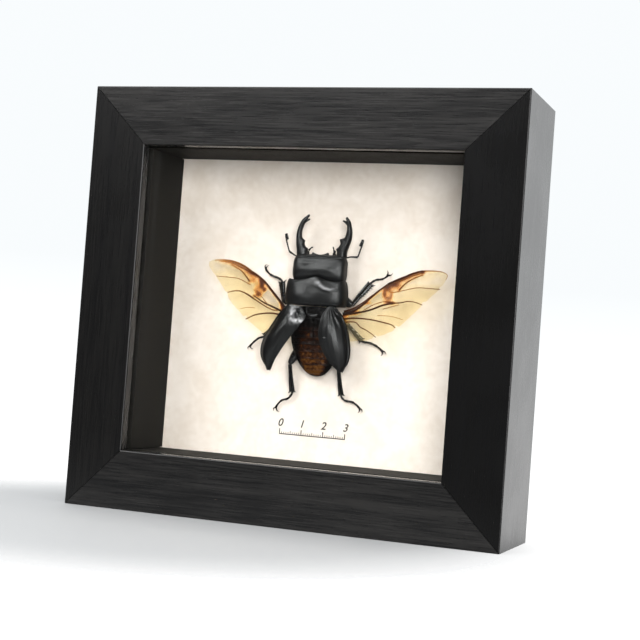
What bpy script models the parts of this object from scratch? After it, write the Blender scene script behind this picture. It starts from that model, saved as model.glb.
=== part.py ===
"""A stag beetle specimen in a deep black box frame that stands on its bottom rail.

Written in millimetres and turned to metres where points are made. The case is described
across (x), back from its front face (depth) and up from its middle (z). The beetle lies on
the backdrop paper, and its points are across, up from the middle, and out from the paper.
The origin of the whole part is under its middle, with the glass facing -Y.
"""
import math

import bmesh
import bpy
from mathutils import Matrix, Vector

MM = 0.001

# The case
FRAME_WIDTH = 190.0
FRAME_HEIGHT = 180.0
FRAME_DEPTH = 48.5
RAIL_WIDTH = 25.0
LIP_DEPTH = 5.0
REBATE = 6.5
EDGE_ROUND = 0.5
GAP = 0.3
MITRE_GAP = 0.2
GLASS_THICK = 3.0
PAPER_FACE = 39.5
PAPER_THICK = 0.4
BOARD_THICK = 3.0
PANEL_THICK = 2.5

# The fittings on the back
TAB_LENGTH = 14.0
TAB_REACH = 10.5
TAB_BITE = 3.0
TAB_THICK = 0.6
HANGER_LENGTH = 44.0
HANGER_HEIGHT = 9.0
HANGER_THICK = 0.9
HANGER_RISE = 1.2
HANGER_TEETH = 9
PIN_SHANK = 0.8
PIN_HEAD = 1.8
PIN_LENGTH = 9.0
HANGER_UP = 77.5

BACK_REACH = FRAME_DEPTH + GAP + HANGER_RISE + HANGER_THICK
FRONT_Y = -BACK_REACH / 2

# The beetle
BODY_X = 1.3
LIFT = 2.0
WING_THICK = 0.3
WING_ROOT = 8.8
WING_DROOP = 0.03
CASE_WALL = 0.9
SEGMENT_LINES = (-8.8, -11.7, -14.6, -17.6, -20.6, -23.3, -25.8)


def case_point(x, depth, z):
    """A place in the case, in metres."""
    return Vector((x, FRONT_Y + depth, z + FRAME_HEIGHT / 2)) * MM


def beetle_point(x, z, out):
    """A place on the beetle, in metres: across, up, and out from the paper."""
    return case_point(x, PAPER_FACE - out, z)


def clear_scene():
    for old in list(bpy.data.objects):
        bpy.data.objects.remove(old, do_unlink=True)


def new_collection(name):
    collection = bpy.data.collections.new(name)
    bpy.context.scene.collection.children.link(collection)
    return collection


def finish_material(name, colour, roughness, metallic=0.0):
    material = bpy.data.materials.new(name)
    material.use_nodes = True
    shader = material.node_tree.nodes["Principled BSDF"]
    shader.inputs["Base Color"].default_value = (*colour, 1.0)
    shader.inputs["Roughness"].default_value = roughness
    shader.inputs["Metallic"].default_value = metallic
    material.diffuse_color = (*colour, 1.0)
    return material


def mesh_object(name, bm, collection, material=None, smooth=False):
    """Turn a bmesh into a named object, with its own copy of the finish."""
    mesh = bpy.data.meshes.new(name)
    bm.to_mesh(mesh)
    bm.free()
    made = bpy.data.objects.new(name, mesh)
    collection.objects.link(made)
    if material:
        own = material.copy()
        own.name = name
        mesh.materials.append(own)
    if smooth:
        mesh.shade_smooth()
        mesh.set_sharp_from_angle(angle=math.radians(40))
    return made


def as_cutter(made):
    made.hide_render = True
    made.display_type = "WIRE"
    return made


def add_boolean(target, other, operation):
    modifier = target.modifiers.new(operation.title(), "BOOLEAN")
    modifier.operation = operation
    modifier.object = other
    modifier.solver = "EXACT"


def block(low, high):
    """A box between two corners, each across, back and up."""
    a, b = case_point(*low), case_point(*high)
    bm = bmesh.new()
    bmesh.ops.create_cube(bm, size=1.0)
    size = b - a
    bmesh.ops.transform(bm, matrix=Matrix.Translation((a + b) / 2) @ Matrix.Diagonal((*size, 1)), verts=bm.verts)
    return bm


def rail(name, length, reach, turn, collection, material):
    """A mitred moulding with a rebate behind its lip, turned into its place round the middle."""
    body = RAIL_WIDTH - REBATE
    outline = [(0, 0), (RAIL_WIDTH, 0), (RAIL_WIDTH, LIP_DEPTH),
               (body, LIP_DEPTH), (body, FRAME_DEPTH), (0, FRAME_DEPTH)]
    bm = bmesh.new()
    ring = [bm.verts.new((-length / 2, depth, reach - inward)) for inward, depth in outline]
    run = bmesh.ops.extrude_face_region(bm, geom=[bm.faces.new(ring)])
    far = [item for item in run["geom"] if isinstance(item, bmesh.types.BMVert)]
    bmesh.ops.translate(bm, verts=far, vec=(length, 0, 0))
    long_edges = []
    for edge in bm.edges:
        a, b = (vert.co for vert in edge.verts)
        in_rebate = abs(a.z - (reach - body)) < 0.01 and abs(a.y - LIP_DEPTH) < 0.01
        if abs(a.x - b.x) > length / 2 and not in_rebate:
            long_edges.append(edge)
    bmesh.ops.bevel(bm, geom=long_edges, offset=EDGE_ROUND, segments=2, profile=0.5,
                    affect="EDGES", material=-1)
    for side in (-1, 1):
        corner = (side * (length - MITRE_GAP * math.sqrt(2)) / 2, 0, reach)
        cut = bmesh.ops.bisect_plane(bm, geom=bm.verts[:] + bm.edges[:] + bm.faces[:], dist=1e-5,
                                     plane_co=corner, plane_no=(side, 0, -1), clear_outer=True)
        rim = [item for item in cut["geom_cut"] if isinstance(item, bmesh.types.BMEdge)]
        bmesh.ops.edgenet_fill(bm, edges=rim)
    bmesh.ops.recalc_face_normals(bm, faces=bm.faces)
    place = (Matrix.Translation(case_point(0, 0, 0)) @ Matrix.Scale(MM, 4)
             @ Matrix.Rotation(math.radians(turn), 4, "Y"))
    bmesh.ops.transform(bm, matrix=place, verts=bm.verts)
    return mesh_object(name, bm, collection, material)


def wrapped_grid(around, along, shape):
    """A closed skin: a grid wrapped round and welded at its seam and its two ends."""
    bm = bmesh.new()
    bmesh.ops.create_grid(bm, x_segments=around, y_segments=along, size=1.0)
    for vert in bm.verts:
        vert.co = shape(math.pi * (vert.co.x + 1), (vert.co.y + 1) / 2)
    bmesh.ops.remove_doubles(bm, verts=bm.verts, dist=1e-6)
    bmesh.ops.recalc_face_normals(bm, faces=bm.faces)
    return bm


def between(stations, t):
    """A smooth reading of a list of equal-length rows, t from 0 to 1 along them (Catmull-Rom)."""
    last = len(stations) - 1
    spot = min(max(t, 0.0), 1.0) * last
    i = min(int(spot), last - 1)
    f = spot - i
    rows = [stations[max(i - 1, 0)], stations[i], stations[i + 1], stations[min(i + 2, last)]]
    weights = (-0.5 * f + f * f - 0.5 * f ** 3, 1 - 2.5 * f * f + 1.5 * f ** 3,
               0.5 * f + 2 * f * f - 1.5 * f ** 3, -0.5 * f * f + 0.5 * f ** 3)
    return [sum(w * row[k] for w, row in zip(weights, rows)) for k in range(len(rows[0]))]


def signed_power(value, power):
    return math.copysign(abs(value) ** power, value)


def body_form(stations, boxy, around, along, shift=None, girth=None):
    """A body section lofted along the beetle from rows of
    up, middle, half width, lowest, widest and highest place above the paper.
    boxy is two powers under 1 that square the section's sides off. shift moves a point along
    the beetle, from its distance to the middle and t. girth scales the section from its place."""
    def shape(angle, t):
        up, middle, half, low, wide, top = between(stations, t)
        scale = 0.0 if t in (0.0, 1.0) else girth(up) if girth else 1.0
        across = scale * half * signed_power(math.cos(angle), boxy[0])
        rise = scale * signed_power(math.sin(angle), boxy[1])
        out = wide + rise * (top - wide if rise > 0 else wide - low)
        if shift:
            up += shift(across + middle - BODY_X, t)
        return beetle_point(middle + across, up, out)
    return wrapped_grid(around, along, shape)


def limb(points, around, along):
    """A tapering limb through rows of across, up, out, half width in the paper's plane and
    half thickness out of it. Its ends close to a point."""
    def shape(angle, t):
        x, z, out, half, thick = between(points, t)
        ahead = between(points, min(t + 0.02, 1.0))
        behind = between(points, max(t - 0.02, 0.0))
        run = Vector((ahead[0] - behind[0], ahead[1] - behind[1])).normalized()
        side = Vector((run.y, -run.x))
        close = 0.0 if t in (0.0, 1.0) else 1.0
        across = close * half * math.cos(angle)
        return beetle_point(x + side.x * across, z + side.y * across, out + close * thick * math.sin(angle))
    return wrapped_grid(around, along, shape)


def spike(base, tip, radius):
    """A tooth or claw: a six-sided cone from a base point to a tip."""
    a, b = beetle_point(*base), beetle_point(*tip)
    bm = bmesh.new()
    bmesh.ops.create_cone(bm, cap_ends=True, segments=6, radius1=radius * MM,
                          radius2=radius * 0.2 * MM, depth=(b - a).length)
    turn = (b - a).to_track_quat("Z", "Y").to_matrix().to_4x4()
    bmesh.ops.transform(bm, matrix=Matrix.Translation((a + b) / 2) @ turn, verts=bm.verts)
    return bm


def fused(name, main, others, collection, helpers, material):
    """One body section with its limbs joined on."""
    made = mesh_object(name, main, collection, material, smooth=True)
    for number, bm in enumerate(others):
        add_boolean(made, as_cutter(mesh_object(f"{name}_limb_{number}", bm, helpers)), "UNION")
    return made


def front_margin(across):
    """How far the pronotum's front edge, and the head's back edge with it, bows along the body."""
    reach = abs(across)
    return (1.3 * math.exp(-(across / 3.0) ** 2) - 0.4 * math.exp(-((reach - 9.0) / 3.0) ** 2)
            + 0.6 * (reach / 13.5) ** 8)


def head_parts():
    """The head's box, then its jaws, feelers, lip and the small palps beside the lip."""
    middle = BODY_X + 0.5
    stations = [(23.9, middle, 9.0, 5.5, 7.4, 9.2), (23.6, middle, 10.6, 4.6, 7.4, 10.0),
                (21.6, middle, 11.6, 4.0, 7.6, 11.6), (18.5, middle, 11.9, 3.6, 7.8, 12.4),
                (15.6, middle, 11.8, 3.4, 7.8, 12.7), (13.7, middle, 11.4, 3.6, 7.8, 12.4)]

    def bow_back(across, t):
        return front_margin(across) * min(1.0, max(0.0, 2.5 * t - 1.5))

    box = body_form(stations, (0.6, 0.6), 28, 12, shift=bow_back)
    jaw_left = [(-6.4, 21.5, 7.2, 2.6, 2.0), (-6.9, 23.6, 7.4, 2.5, 2.1), (-7.4, 26.0, 7.6, 2.3, 2.0),
                (-8.2, 28.6, 7.8, 2.0, 1.8), (-8.7, 31.2, 8.0, 1.45, 1.6), (-8.6, 33.8, 8.2, 1.15, 1.4),
                (-7.9, 36.4, 8.3, 1.05, 1.3), (-6.7, 38.6, 8.4, 0.95, 1.1), (-4.6, 40.9, 8.4, 0.3, 0.5)]
    jaw_right = [(10.4, 21.5, 7.2, 2.6, 2.0), (10.9, 23.8, 7.4, 2.3, 2.1), (11.3, 26.4, 7.6, 2.3, 2.0),
                 (12.4, 28.8, 7.8, 2.2, 1.8), (13.4, 31.3, 8.0, 1.8, 1.6), (14.0, 33.8, 8.2, 1.45, 1.4),
                 (13.8, 36.2, 8.3, 1.1, 1.3), (13.1, 38.4, 8.4, 0.9, 1.1), (12.1, 40.4, 8.4, 0.3, 0.5)]
    feeler_left = [(-8.0, 22.4, 7.0, 0.45, 0.45), (-12.5, 24.6, 7.0, 0.32, 0.32), (-13.7, 25.7, 7.0, 0.4, 0.4),
                   (-15.0, 29.6, 7.0, 0.3, 0.3), (-15.4, 31.0, 7.0, 0.6, 0.45), (-15.5, 32.3, 7.0, 0.5, 0.4)]
    feeler_right = [(11.0, 22.4, 7.0, 0.45, 0.45), (15.9, 23.8, 7.0, 0.32, 0.32), (18.5, 23.9, 7.0, 0.4, 0.4),
                    (19.2, 27.3, 7.0, 0.3, 0.3), (19.7, 29.6, 7.0, 0.6, 0.45), (19.8, 31.1, 7.0, 0.5, 0.4)]
    palp_left = [(-3.8, 22.8, 6.0, 0.4, 0.4), (-4.3, 24.8, 6.0, 0.35, 0.35), (-3.9, 26.4, 6.0, 0.35, 0.35),
                 (-3.0, 27.2, 6.0, 0.3, 0.3)]
    palp_right = [(5.8, 22.8, 6.0, 0.4, 0.4), (6.3, 24.8, 6.0, 0.35, 0.35), (6.7, 26.6, 6.0, 0.35, 0.35),
                  (6.2, 27.8, 6.0, 0.3, 0.3)]
    lip = [(-2.4, 23.9, 6.6, 1.0, 0.9), (-1.2, 24.2, 6.8, 0.9, 1.0), (1.1, 23.9, 6.8, 0.7, 1.0),
           (3.4, 24.3, 6.8, 0.9, 1.0), (4.6, 24.0, 6.6, 1.0, 0.9)]
    teeth = [((-7.4, 27.6, 7.7), (-5.7, 29.2, 7.7), 1.2), ((-6.2, 24.6, 7.4), (-4.4, 25.7, 7.4), 0.8),
             ((-6.6, 38.4, 8.3), (-4.4, 38.9, 8.3), 0.55), ((12.0, 28.2, 7.7), (9.6, 29.6, 7.7), 1.2),
             ((10.6, 25.0, 7.4), (8.5, 26.3, 7.4), 0.8), ((13.2, 38.2, 8.3), (10.9, 38.8, 8.3), 0.55)]
    limbs = [limb(jaw_left, 10, 16), limb(jaw_right, 10, 16), limb(feeler_left, 6, 14),
             limb(feeler_right, 6, 14), limb(palp_left, 6, 6), limb(palp_right, 6, 6), limb(lip, 8, 8)]
    return box, limbs + [spike(*tooth) for tooth in teeth]


def prothorax_parts():
    """The domed shield behind the head, and the two front legs that grow from it."""
    stations = [(13.2, BODY_X, 12.0, 4.0, 8.4, 12.4), (12.6, BODY_X + 0.1, 12.9, 3.4, 8.4, 13.2),
                (10.6, BODY_X, 13.4, 3.0, 8.2, 14.6), (8.0, BODY_X, 13.7, 2.8, 8.0, 15.2),
                (5.0, BODY_X, 13.8, 2.8, 8.0, 14.8), (2.8, BODY_X, 13.4, 3.0, 8.0, 13.6),
                (2.1, BODY_X, 12.4, 3.6, 8.0, 12.6)]

    def bow_front(across, t):
        return front_margin(across) * min(1.0, max(0.0, 1.0 - 2.0 * t))

    shield = body_form(stations, (0.75, 0.85), 32, 16, shift=bow_front)
    leg_left = [(-7.0, 6.4, 4.6, 1.9, 1.7), (-11.5, 4.4, 5.0, 1.9, 1.6), (-14.6, 2.9, 5.4, 1.3, 1.3),
                (-15.7, 6.6, 4.8, 0.8, 0.8), (-17.2, 11.8, 3.6, 1.35, 0.9), (-17.9, 12.7, 3.0, 0.4, 0.4),
                (-20.0, 13.7, 2.2, 0.45, 0.45), (-23.0, 14.5, 1.6, 0.45, 0.45), (-25.5, 15.9, 1.3, 0.5, 0.5),
                (-26.3, 17.0, 1.2, 0.5, 0.5), (-25.5, 18.3, 1.0, 0.2, 0.25)]
    leg_right = [(9.5, 6.2, 4.6, 1.9, 1.7), (14.0, 4.6, 5.6, 2.1, 1.7), (16.6, 3.3, 5.8, 1.3, 1.3),
                 (19.6, 7.7, 5.0, 0.9, 0.8), (23.2, 12.8, 3.9, 1.4, 0.9), (24.0, 13.9, 3.2, 0.4, 0.4),
                 (25.4, 14.8, 2.4, 0.45, 0.45), (28.2, 15.5, 1.7, 0.45, 0.45), (29.6, 16.8, 1.3, 0.5, 0.5),
                 (30.1, 17.5, 1.2, 0.5, 0.5), (31.0, 17.8, 1.0, 0.2, 0.25)]
    spines = [((-16.6, 12.0, 3.7), (-18.6, 12.7, 3.6), 0.4), ((23.6, 12.0, 3.9), (25.2, 12.2, 3.8), 0.4),
              ((22.3, 10.4, 4.2), (23.9, 10.5, 4.1), 0.35), ((20.9, 8.6, 4.6), (22.4, 8.7, 4.5), 0.35)]
    return shield, [limb(leg_left, 8, 20), limb(leg_right, 8, 20)] + [spike(*spine) for spine in spines]


def hind_body_parts():
    """The middle and hind thorax with the abdomen behind it, and the four other legs."""
    stations = [(1.7, BODY_X, 6.0, 4.0, 7.0, 10.6), (1.2, BODY_X, 8.2, 3.4, 7.0, 11.2),
                (-1.2, BODY_X, 9.7, 2.6, 6.6, 11.4), (-4.2, BODY_X, 10.5, LIFT, 6.2, 10.8),
                (-8.0, BODY_X - 0.1, 11.0, LIFT, 6.0, 10.0), (-12.0, BODY_X - 0.2, 11.0, LIFT, 5.8, 9.5),
                (-16.2, BODY_X, 10.2, LIFT, 5.6, 9.2), (-20.0, BODY_X + 0.4, 8.9, 2.2, 5.4, 8.8),
                (-23.7, BODY_X + 0.8, 7.0, 2.6, 5.2, 8.1), (-26.6, BODY_X + 1.1, 4.3, 3.4, 5.0, 7.0),
                (-28.0, BODY_X + 1.2, 0.0, 5.0, 5.0, 5.0)]

    def segment_grooves(up):
        nearest = min(abs(up - groove) for groove in SEGMENT_LINES)
        return 1.0 - 0.035 * math.exp(-(nearest / 0.5) ** 2)

    trunk = body_form(stations, (1.0, 1.0), 24, 38, girth=segment_grooves)
    middle_left = [(-3.0, -6.0, 4.2, 2.1, 1.6), (-10.5, -4.2, 4.6, 1.9, 1.5), (-15.3, -4.8, 5.2, 1.2, 1.2),
                   (-19.3, -8.4, 4.4, 0.8, 0.8), (-23.2, -12.0, 3.4, 1.1, 0.8), (-24.4, -12.6, 2.6, 0.4, 0.4),
                   (-27.4, -13.7, 1.8, 0.4, 0.4), (-29.8, -15.8, 1.3, 0.45, 0.45), (-31.0, -17.1, 1.2, 0.5, 0.5),
                   (-29.4, -18.1, 1.0, 0.2, 0.25)]
    middle_right = [(6.0, -6.0, 4.2, 2.1, 1.6), (11.5, -3.6, 4.8, 1.8, 1.5), (14.4, -3.8, 5.3, 1.2, 1.2),
                    (17.7, -7.6, 4.3, 0.8, 0.8), (20.9, -10.9, 3.2, 1.1, 0.8), (22.0, -11.6, 2.6, 0.4, 0.4),
                    (25.0, -12.1, 2.0, 0.4, 0.4), (28.2, -13.5, 1.4, 0.45, 0.45), (30.4, -15.2, 1.2, 0.5, 0.5),
                    (31.8, -15.9, 1.0, 0.2, 0.25)]
    hind_left = [(-3.0, -13.0, 4.2, 2.2, 1.6), (-7.6, -19.0, 4.6, 1.9, 1.6), (-9.7, -23.4, 5.4, 1.2, 1.2),
                 (-9.4, -29.0, 4.0, 0.8, 0.8), (-9.1, -34.9, 2.4, 1.1, 0.8), (-9.5, -36.4, 1.8, 0.4, 0.4),
                 (-11.5, -38.4, 1.5, 0.4, 0.4), (-14.8, -40.0, 1.3, 0.45, 0.45), (-16.4, -42.2, 1.2, 0.5, 0.5),
                 (-17.2, -43.8, 1.0, 0.2, 0.25)]
    hind_right = [(5.5, -13.0, 4.2, 2.2, 1.6), (10.0, -18.8, 4.8, 1.9, 1.6), (12.6, -23.8, 5.6, 1.2, 1.2),
                  (13.0, -29.4, 4.0, 0.8, 0.8), (13.5, -34.9, 2.4, 1.1, 0.8), (13.9, -36.3, 1.8, 0.4, 0.4),
                  (15.6, -37.3, 1.5, 0.4, 0.4), (18.6, -37.7, 1.3, 0.45, 0.45), (21.2, -39.2, 1.2, 0.5, 0.5),
                  (22.6, -40.9, 1.0, 0.2, 0.25)]
    return trunk, [limb(leg, 8, 20) for leg in (middle_left, middle_right, hind_left, hind_right)]


def wing_case(inner, outer, bulge):
    """A hard wing case: a skin stretched between its inner and outer edges, arched between them.
    Each edge is rows of across, up and out."""
    bm = bmesh.new()
    bmesh.ops.create_grid(bm, x_segments=8, y_segments=14, size=1.0)
    for vert in bm.verts:
        s, t = (vert.co.x + 1) / 2, (vert.co.y + 1) / 2
        a, b = Vector(between(inner, t)), Vector(between(outer, t))
        spot = a.lerp(b, s)
        spot.z += bulge * math.sin(math.pi * s ** 0.85) * math.sin(math.pi * (0.08 + 0.86 * t)) ** 0.6
        vert.co = beetle_point(*spot)
    bmesh.ops.remove_doubles(bm, verts=bm.verts, dist=1e-6)
    return bm


def wing_sheet(outline, steps):
    """A thin wing: a smooth closed outline, a little lower at its tip than at its root."""
    bm = bmesh.new()
    ring = []
    for i in range(steps):
        x, z = between(outline + [outline[0]], i / steps)
        ring.append(bm.verts.new(beetle_point(x, z, WING_ROOT - WING_DROOP * abs(x - BODY_X))))
    bmesh.ops.triangle_fill(bm, use_beauty=True, edges=[
        bm.edges.new((ring[i], ring[(i + 1) % steps])) for i in range(steps)])
    return bm


def solid_sheet(name, bm, thickness, collection, material, smooth):
    """Give an open sheet its thickness, behind its outer side."""
    bmesh.ops.recalc_face_normals(bm, faces=bm.faces)
    if sum(face.normal.y * face.calc_area() for face in bm.faces) > 0:
        bmesh.ops.reverse_faces(bm, faces=bm.faces)
    made = mesh_object(name, bm, collection, material, smooth)
    wall = made.modifiers.new("Wall", "SOLIDIFY")
    wall.thickness = thickness * MM
    wall.offset = -1.0
    return made


def hanger_plate(collection, material):
    """The toothed hanging plate: a bent strip, its middle standing off the rail for a nail."""
    half, height = HANGER_LENGTH / 2, HANGER_HEIGHT
    tooth = (HANGER_LENGTH * 0.6) / HANGER_TEETH
    lower = [(-half, 0), (-tooth * HANGER_TEETH / 2, 0)]
    for i in range(HANGER_TEETH):
        start = tooth * (i - HANGER_TEETH / 2)
        lower += [(start + tooth / 2, 1.6), (start + tooth, 0)]
    outline = lower + [(half, 0), (half, height), (-half, height)]
    bm = bmesh.new()
    ring = [bm.verts.new((x, 0, z)) for x, z in outline]
    face = bm.faces.new(ring)
    run = bmesh.ops.extrude_face_region(bm, geom=[face])
    back = [item for item in run["geom"] if isinstance(item, bmesh.types.BMVert)]
    bmesh.ops.translate(bm, verts=back, vec=(0, HANGER_THICK, 0))
    for fold in (-17.0, -14.5, 14.5, 17.0):
        bmesh.ops.bisect_plane(bm, geom=bm.verts[:] + bm.edges[:] + bm.faces[:], dist=1e-5,
                               plane_co=(fold, 0, 0), plane_no=(1, 0, 0))
    for vert in bm.verts:
        vert.co.y += HANGER_RISE if abs(vert.co.x) < 15.0 else 0.0
    bmesh.ops.triangulate(bm, faces=bm.faces)
    bmesh.ops.recalc_face_normals(bm, faces=bm.faces)
    place = Matrix.Translation(case_point(0, FRAME_DEPTH + GAP, HANGER_UP - height / 2)) @ Matrix.Scale(MM, 4)
    bmesh.ops.transform(bm, matrix=place, verts=bm.verts)
    return mesh_object("sawtooth_hanger", bm, collection, material)


def round_bar(x, z, start, end, radius):
    """A bar that runs back from one depth to another."""
    a, b = case_point(x, start, z), case_point(x, end, z)
    bm = bmesh.new()
    bmesh.ops.create_cone(bm, cap_ends=True, segments=16, radius1=radius * MM, radius2=radius * MM,
                          depth=(b - a).length)
    place = Matrix.Translation((a + b) / 2) @ Matrix.Rotation(math.radians(90), 4, "X")
    bmesh.ops.transform(bm, matrix=place, verts=bm.verts)
    return bm


def build_case(case, cutters):
    black_wood = finish_material("black_wood", (0.018, 0.018, 0.019), 0.5)
    liner_wood = finish_material("liner_wood", (0.035, 0.032, 0.028), 0.7)
    steel = finish_material("steel", (0.55, 0.55, 0.56), 0.35, 1.0)
    half_width, half_height = FRAME_WIDTH / 2, FRAME_HEIGHT / 2
    rails = {
        "rail_top": rail("rail_top", FRAME_WIDTH, half_height, 0, case, black_wood),
        "rail_right": rail("rail_right", FRAME_HEIGHT, half_width, 90, case, black_wood),
        "rail_bottom": rail("rail_bottom", FRAME_WIDTH, half_height, 180, case, black_wood),
        "rail_left": rail("rail_left", FRAME_HEIGHT, half_width, 270, case, black_wood),
    }

    # What fills the rebate, from the front to the back
    room_x = half_width - RAIL_WIDTH + REBATE - GAP
    room_z = half_height - RAIL_WIDTH + REBATE - GAP
    sight_x, sight_z = half_width - RAIL_WIDTH, half_height - RAIL_WIDTH
    glass_front = LIP_DEPTH + GAP
    liner_front = glass_front + GLASS_THICK + GAP
    board_front = PAPER_FACE + PAPER_THICK + GAP
    panel_front = board_front + BOARD_THICK + GAP
    panel_back = panel_front + PANEL_THICK
    layers = [("glass_pane", glass_front, GLASS_THICK, (0.9, 0.95, 0.93), 0.02),
              ("backdrop_paper", PAPER_FACE, PAPER_THICK, (0.86, 0.80, 0.70), 0.9),
              ("mount_board", board_front, BOARD_THICK, (0.80, 0.77, 0.70), 0.9),
              ("back_panel", panel_front, PANEL_THICK, (0.23, 0.13, 0.07), 0.7)]
    for name, front, thick, colour, roughness in layers:
        sheet = block((-room_x, front, -room_z), (room_x, front + thick, room_z))
        mesh_object(name, sheet, case, finish_material(name, colour, roughness))

    # The liner strips: the upright ones stand between the two long ones
    liner_back = PAPER_FACE - GAP
    for name, low, high in (
            ("liner_top", (-room_x, sight_z), (room_x, room_z)),
            ("liner_bottom", (-room_x, -room_z), (room_x, -sight_z)),
            ("liner_left", (-room_x, -sight_z + GAP), (-sight_x, sight_z - GAP)),
            ("liner_right", (sight_x, -sight_z + GAP), (room_x, sight_z - GAP))):
        strip = block((low[0], liner_front, low[1]), (high[0], liner_back, high[1]))
        mesh_object(name, strip, case, liner_wood)

    # Thin points pushed into slots in the rails, which hold the back in
    spots = [("rail_top", -45.0, 1), ("rail_top", 45.0, 1), ("rail_bottom", -45.0, -1),
             ("rail_bottom", 45.0, -1), ("rail_left", 0.0, -1), ("rail_right", 0.0, 1)]
    slot_front, half_tab = panel_back + GAP, TAB_LENGTH / 2
    for number, (rail_name, along, side) in enumerate(spots, start=1):
        wall = half_height - RAIL_WIDTH + REBATE if "left" not in rail_name and "right" not in rail_name \
            else half_width - RAIL_WIDTH + REBATE
        near, far = wall + TAB_BITE - TAB_REACH, wall + TAB_BITE

        def across(reach_a, reach_b, widen, front, back):
            a, b = sorted((side * reach_a, side * reach_b))
            low, high = along - half_tab - widen, along + half_tab + widen
            if wall == half_height - RAIL_WIDTH + REBATE:
                return block((low, front, a), (high, back, b))
            return block((a, front, low), (b, back, high))

        tab = across(near, far, 0.0, slot_front + GAP, slot_front + GAP + TAB_THICK)
        mesh_object(f"flex_tab_{number}", tab, case, steel)
        slot = across(near, far + GAP, GAP, slot_front, slot_front + TAB_THICK + 2 * GAP)
        add_boolean(rails[rail_name], as_cutter(mesh_object(f"slot_{number}", slot, cutters)), "DIFFERENCE")

    # The hanging plate on the back of the top rail, and the two nails through it
    plate = hanger_plate(case, steel)
    for name, side in (("hanger_pin_left", -1), ("hanger_pin_right", 1)):
        x, plate_back = side * 19.5, FRAME_DEPTH + GAP + HANGER_THICK
        head = mesh_object(name, round_bar(x, HANGER_UP, plate_back + GAP, BACK_REACH, PIN_HEAD), case, steel)
        shank = round_bar(x, HANGER_UP, plate_back - PIN_LENGTH, plate_back + GAP + 0.2, PIN_SHANK)
        add_boolean(head, as_cutter(mesh_object(name + "_shank", shank, cutters)), "UNION")
        hole = round_bar(x, HANGER_UP, plate_back - PIN_LENGTH - 1.0, plate_back + 1.0, PIN_SHANK + GAP)
        cutter = as_cutter(mesh_object(name + "_hole", hole, cutters))
        add_boolean(rails["rail_top"], cutter, "DIFFERENCE")
        add_boolean(plate, cutter, "DIFFERENCE")


def build_beetle(case, cutters):
    shell = finish_material("beetle_shell", (0.012, 0.012, 0.013), 0.3)
    amber = finish_material("wing_amber", (0.80, 0.52, 0.16), 0.35)
    for name, parts in (("head", head_parts()), ("prothorax", prothorax_parts()),
                        ("hind_body", hind_body_parts())):
        fused(name, parts[0], parts[1], case, cutters, shell)

    case_left = wing_case(
        [(-3.6, 1.4, 12.6), (-1.2, -2.6, 13.2), (-3.0, -6.0, 13.2), (-6.6, -10.6, 13.0),
         (-10.2, -15.6, 12.6), (-13.6, -20.8, 11.8), (-17.1, -26.8, 10.4)],
        [(-10.2, 2.0, 12.0), (-14.1, -1.8, 11.0), (-17.8, -7.3, 10.4), (-20.8, -12.6, 10.2),
         (-22.0, -17.8, 10.2), (-21.1, -22.2, 10.2), (-17.7, -26.6, 10.3)], 2.6)
    case_right = wing_case(
        [(8.4, 2.2, 12.6), (6.4, -1.6, 13.8), (5.6, -6.0, 14.4), (5.6, -10.8, 14.4),
         (7.2, -16.0, 13.6), (10.4, -21.4, 12.2), (14.8, -25.5, 10.6)],
        [(10.6, 2.4, 12.2), (14.2, -1.0, 11.0), (16.6, -5.6, 10.4), (18.2, -10.8, 10.2),
         (19.0, -16.4, 10.2), (18.4, -21.2, 10.2), (15.9, -25.3, 10.4)], 2.4)
    solid_sheet("elytron_left", case_left, CASE_WALL, case, shell, smooth=True)
    solid_sheet("elytron_right", case_right, CASE_WALL, case, shell, smooth=True)

    left = [(-12.0, 0.0), (-14.0, 2.2), (-17.2, 5.4), (-20.5, 8.5), (-24.4, 12.3), (-27.8, 14.6),
            (-31.3, 16.5), (-35.1, 18.6), (-38.9, 19.8), (-43.5, 20.2), (-48.1, 19.8), (-50.7, 18.7),
            (-50.4, 16.8), (-47.2, 13.0), (-43.8, 9.0), (-40.8, 4.6), (-37.9, 0.9), (-34.6, -2.2),
            (-31.3, -5.2), (-27.8, -7.4), (-24.0, -10.0), (-20.4, -12.0), (-16.4, -11.0), (-13.2, -7.0)]
    right = [(15.0, -0.4), (17.6, 0.8), (21.0, 2.9), (24.8, 6.5), (28.6, 10.0), (32.4, 13.1),
             (36.3, 15.0), (40.2, 16.8), (43.6, 18.5), (47.6, 19.5), (52.0, 19.7), (55.8, 19.3),
             (57.9, 18.0), (57.1, 15.2), (54.8, 11.8), (51.9, 8.8), (48.4, 5.2), (44.7, 1.2),
             (41.3, -2.3), (37.6, -5.8), (33.2, -8.1), (28.8, -9.9), (24.4, -11.4), (19.4, -11.6),
             (16.6, -7.4)]
    solid_sheet("hindwing_left", wing_sheet(left, 72), WING_THICK, case, amber, smooth=False)
    solid_sheet("hindwing_right", wing_sheet(right, 75), WING_THICK, case, amber, smooth=False)

    pad = wrapped_grid(20, 6, lambda angle, t: beetle_point(
        BODY_X + 6.5 * math.sin(math.pi * t) ** 0.4 * math.cos(angle),
        -6.0 + 4.5 * math.sin(math.pi * t) ** 0.4 * math.sin(angle), 0.3 + (LIFT - 2 * GAP) * t))
    mesh_object("glue_pad", pad, case, finish_material("glue_pad", (0.75, 0.72, 0.62), 0.6))


def main():
    clear_scene()
    case = new_collection("framed_stag_beetle")
    cutters = new_collection("cutters")
    build_case(case, cutters)
    build_beetle(case, cutters)


main()
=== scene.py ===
import math

import bmesh
import bpy
from mathutils import Matrix, Vector, noise


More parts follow.
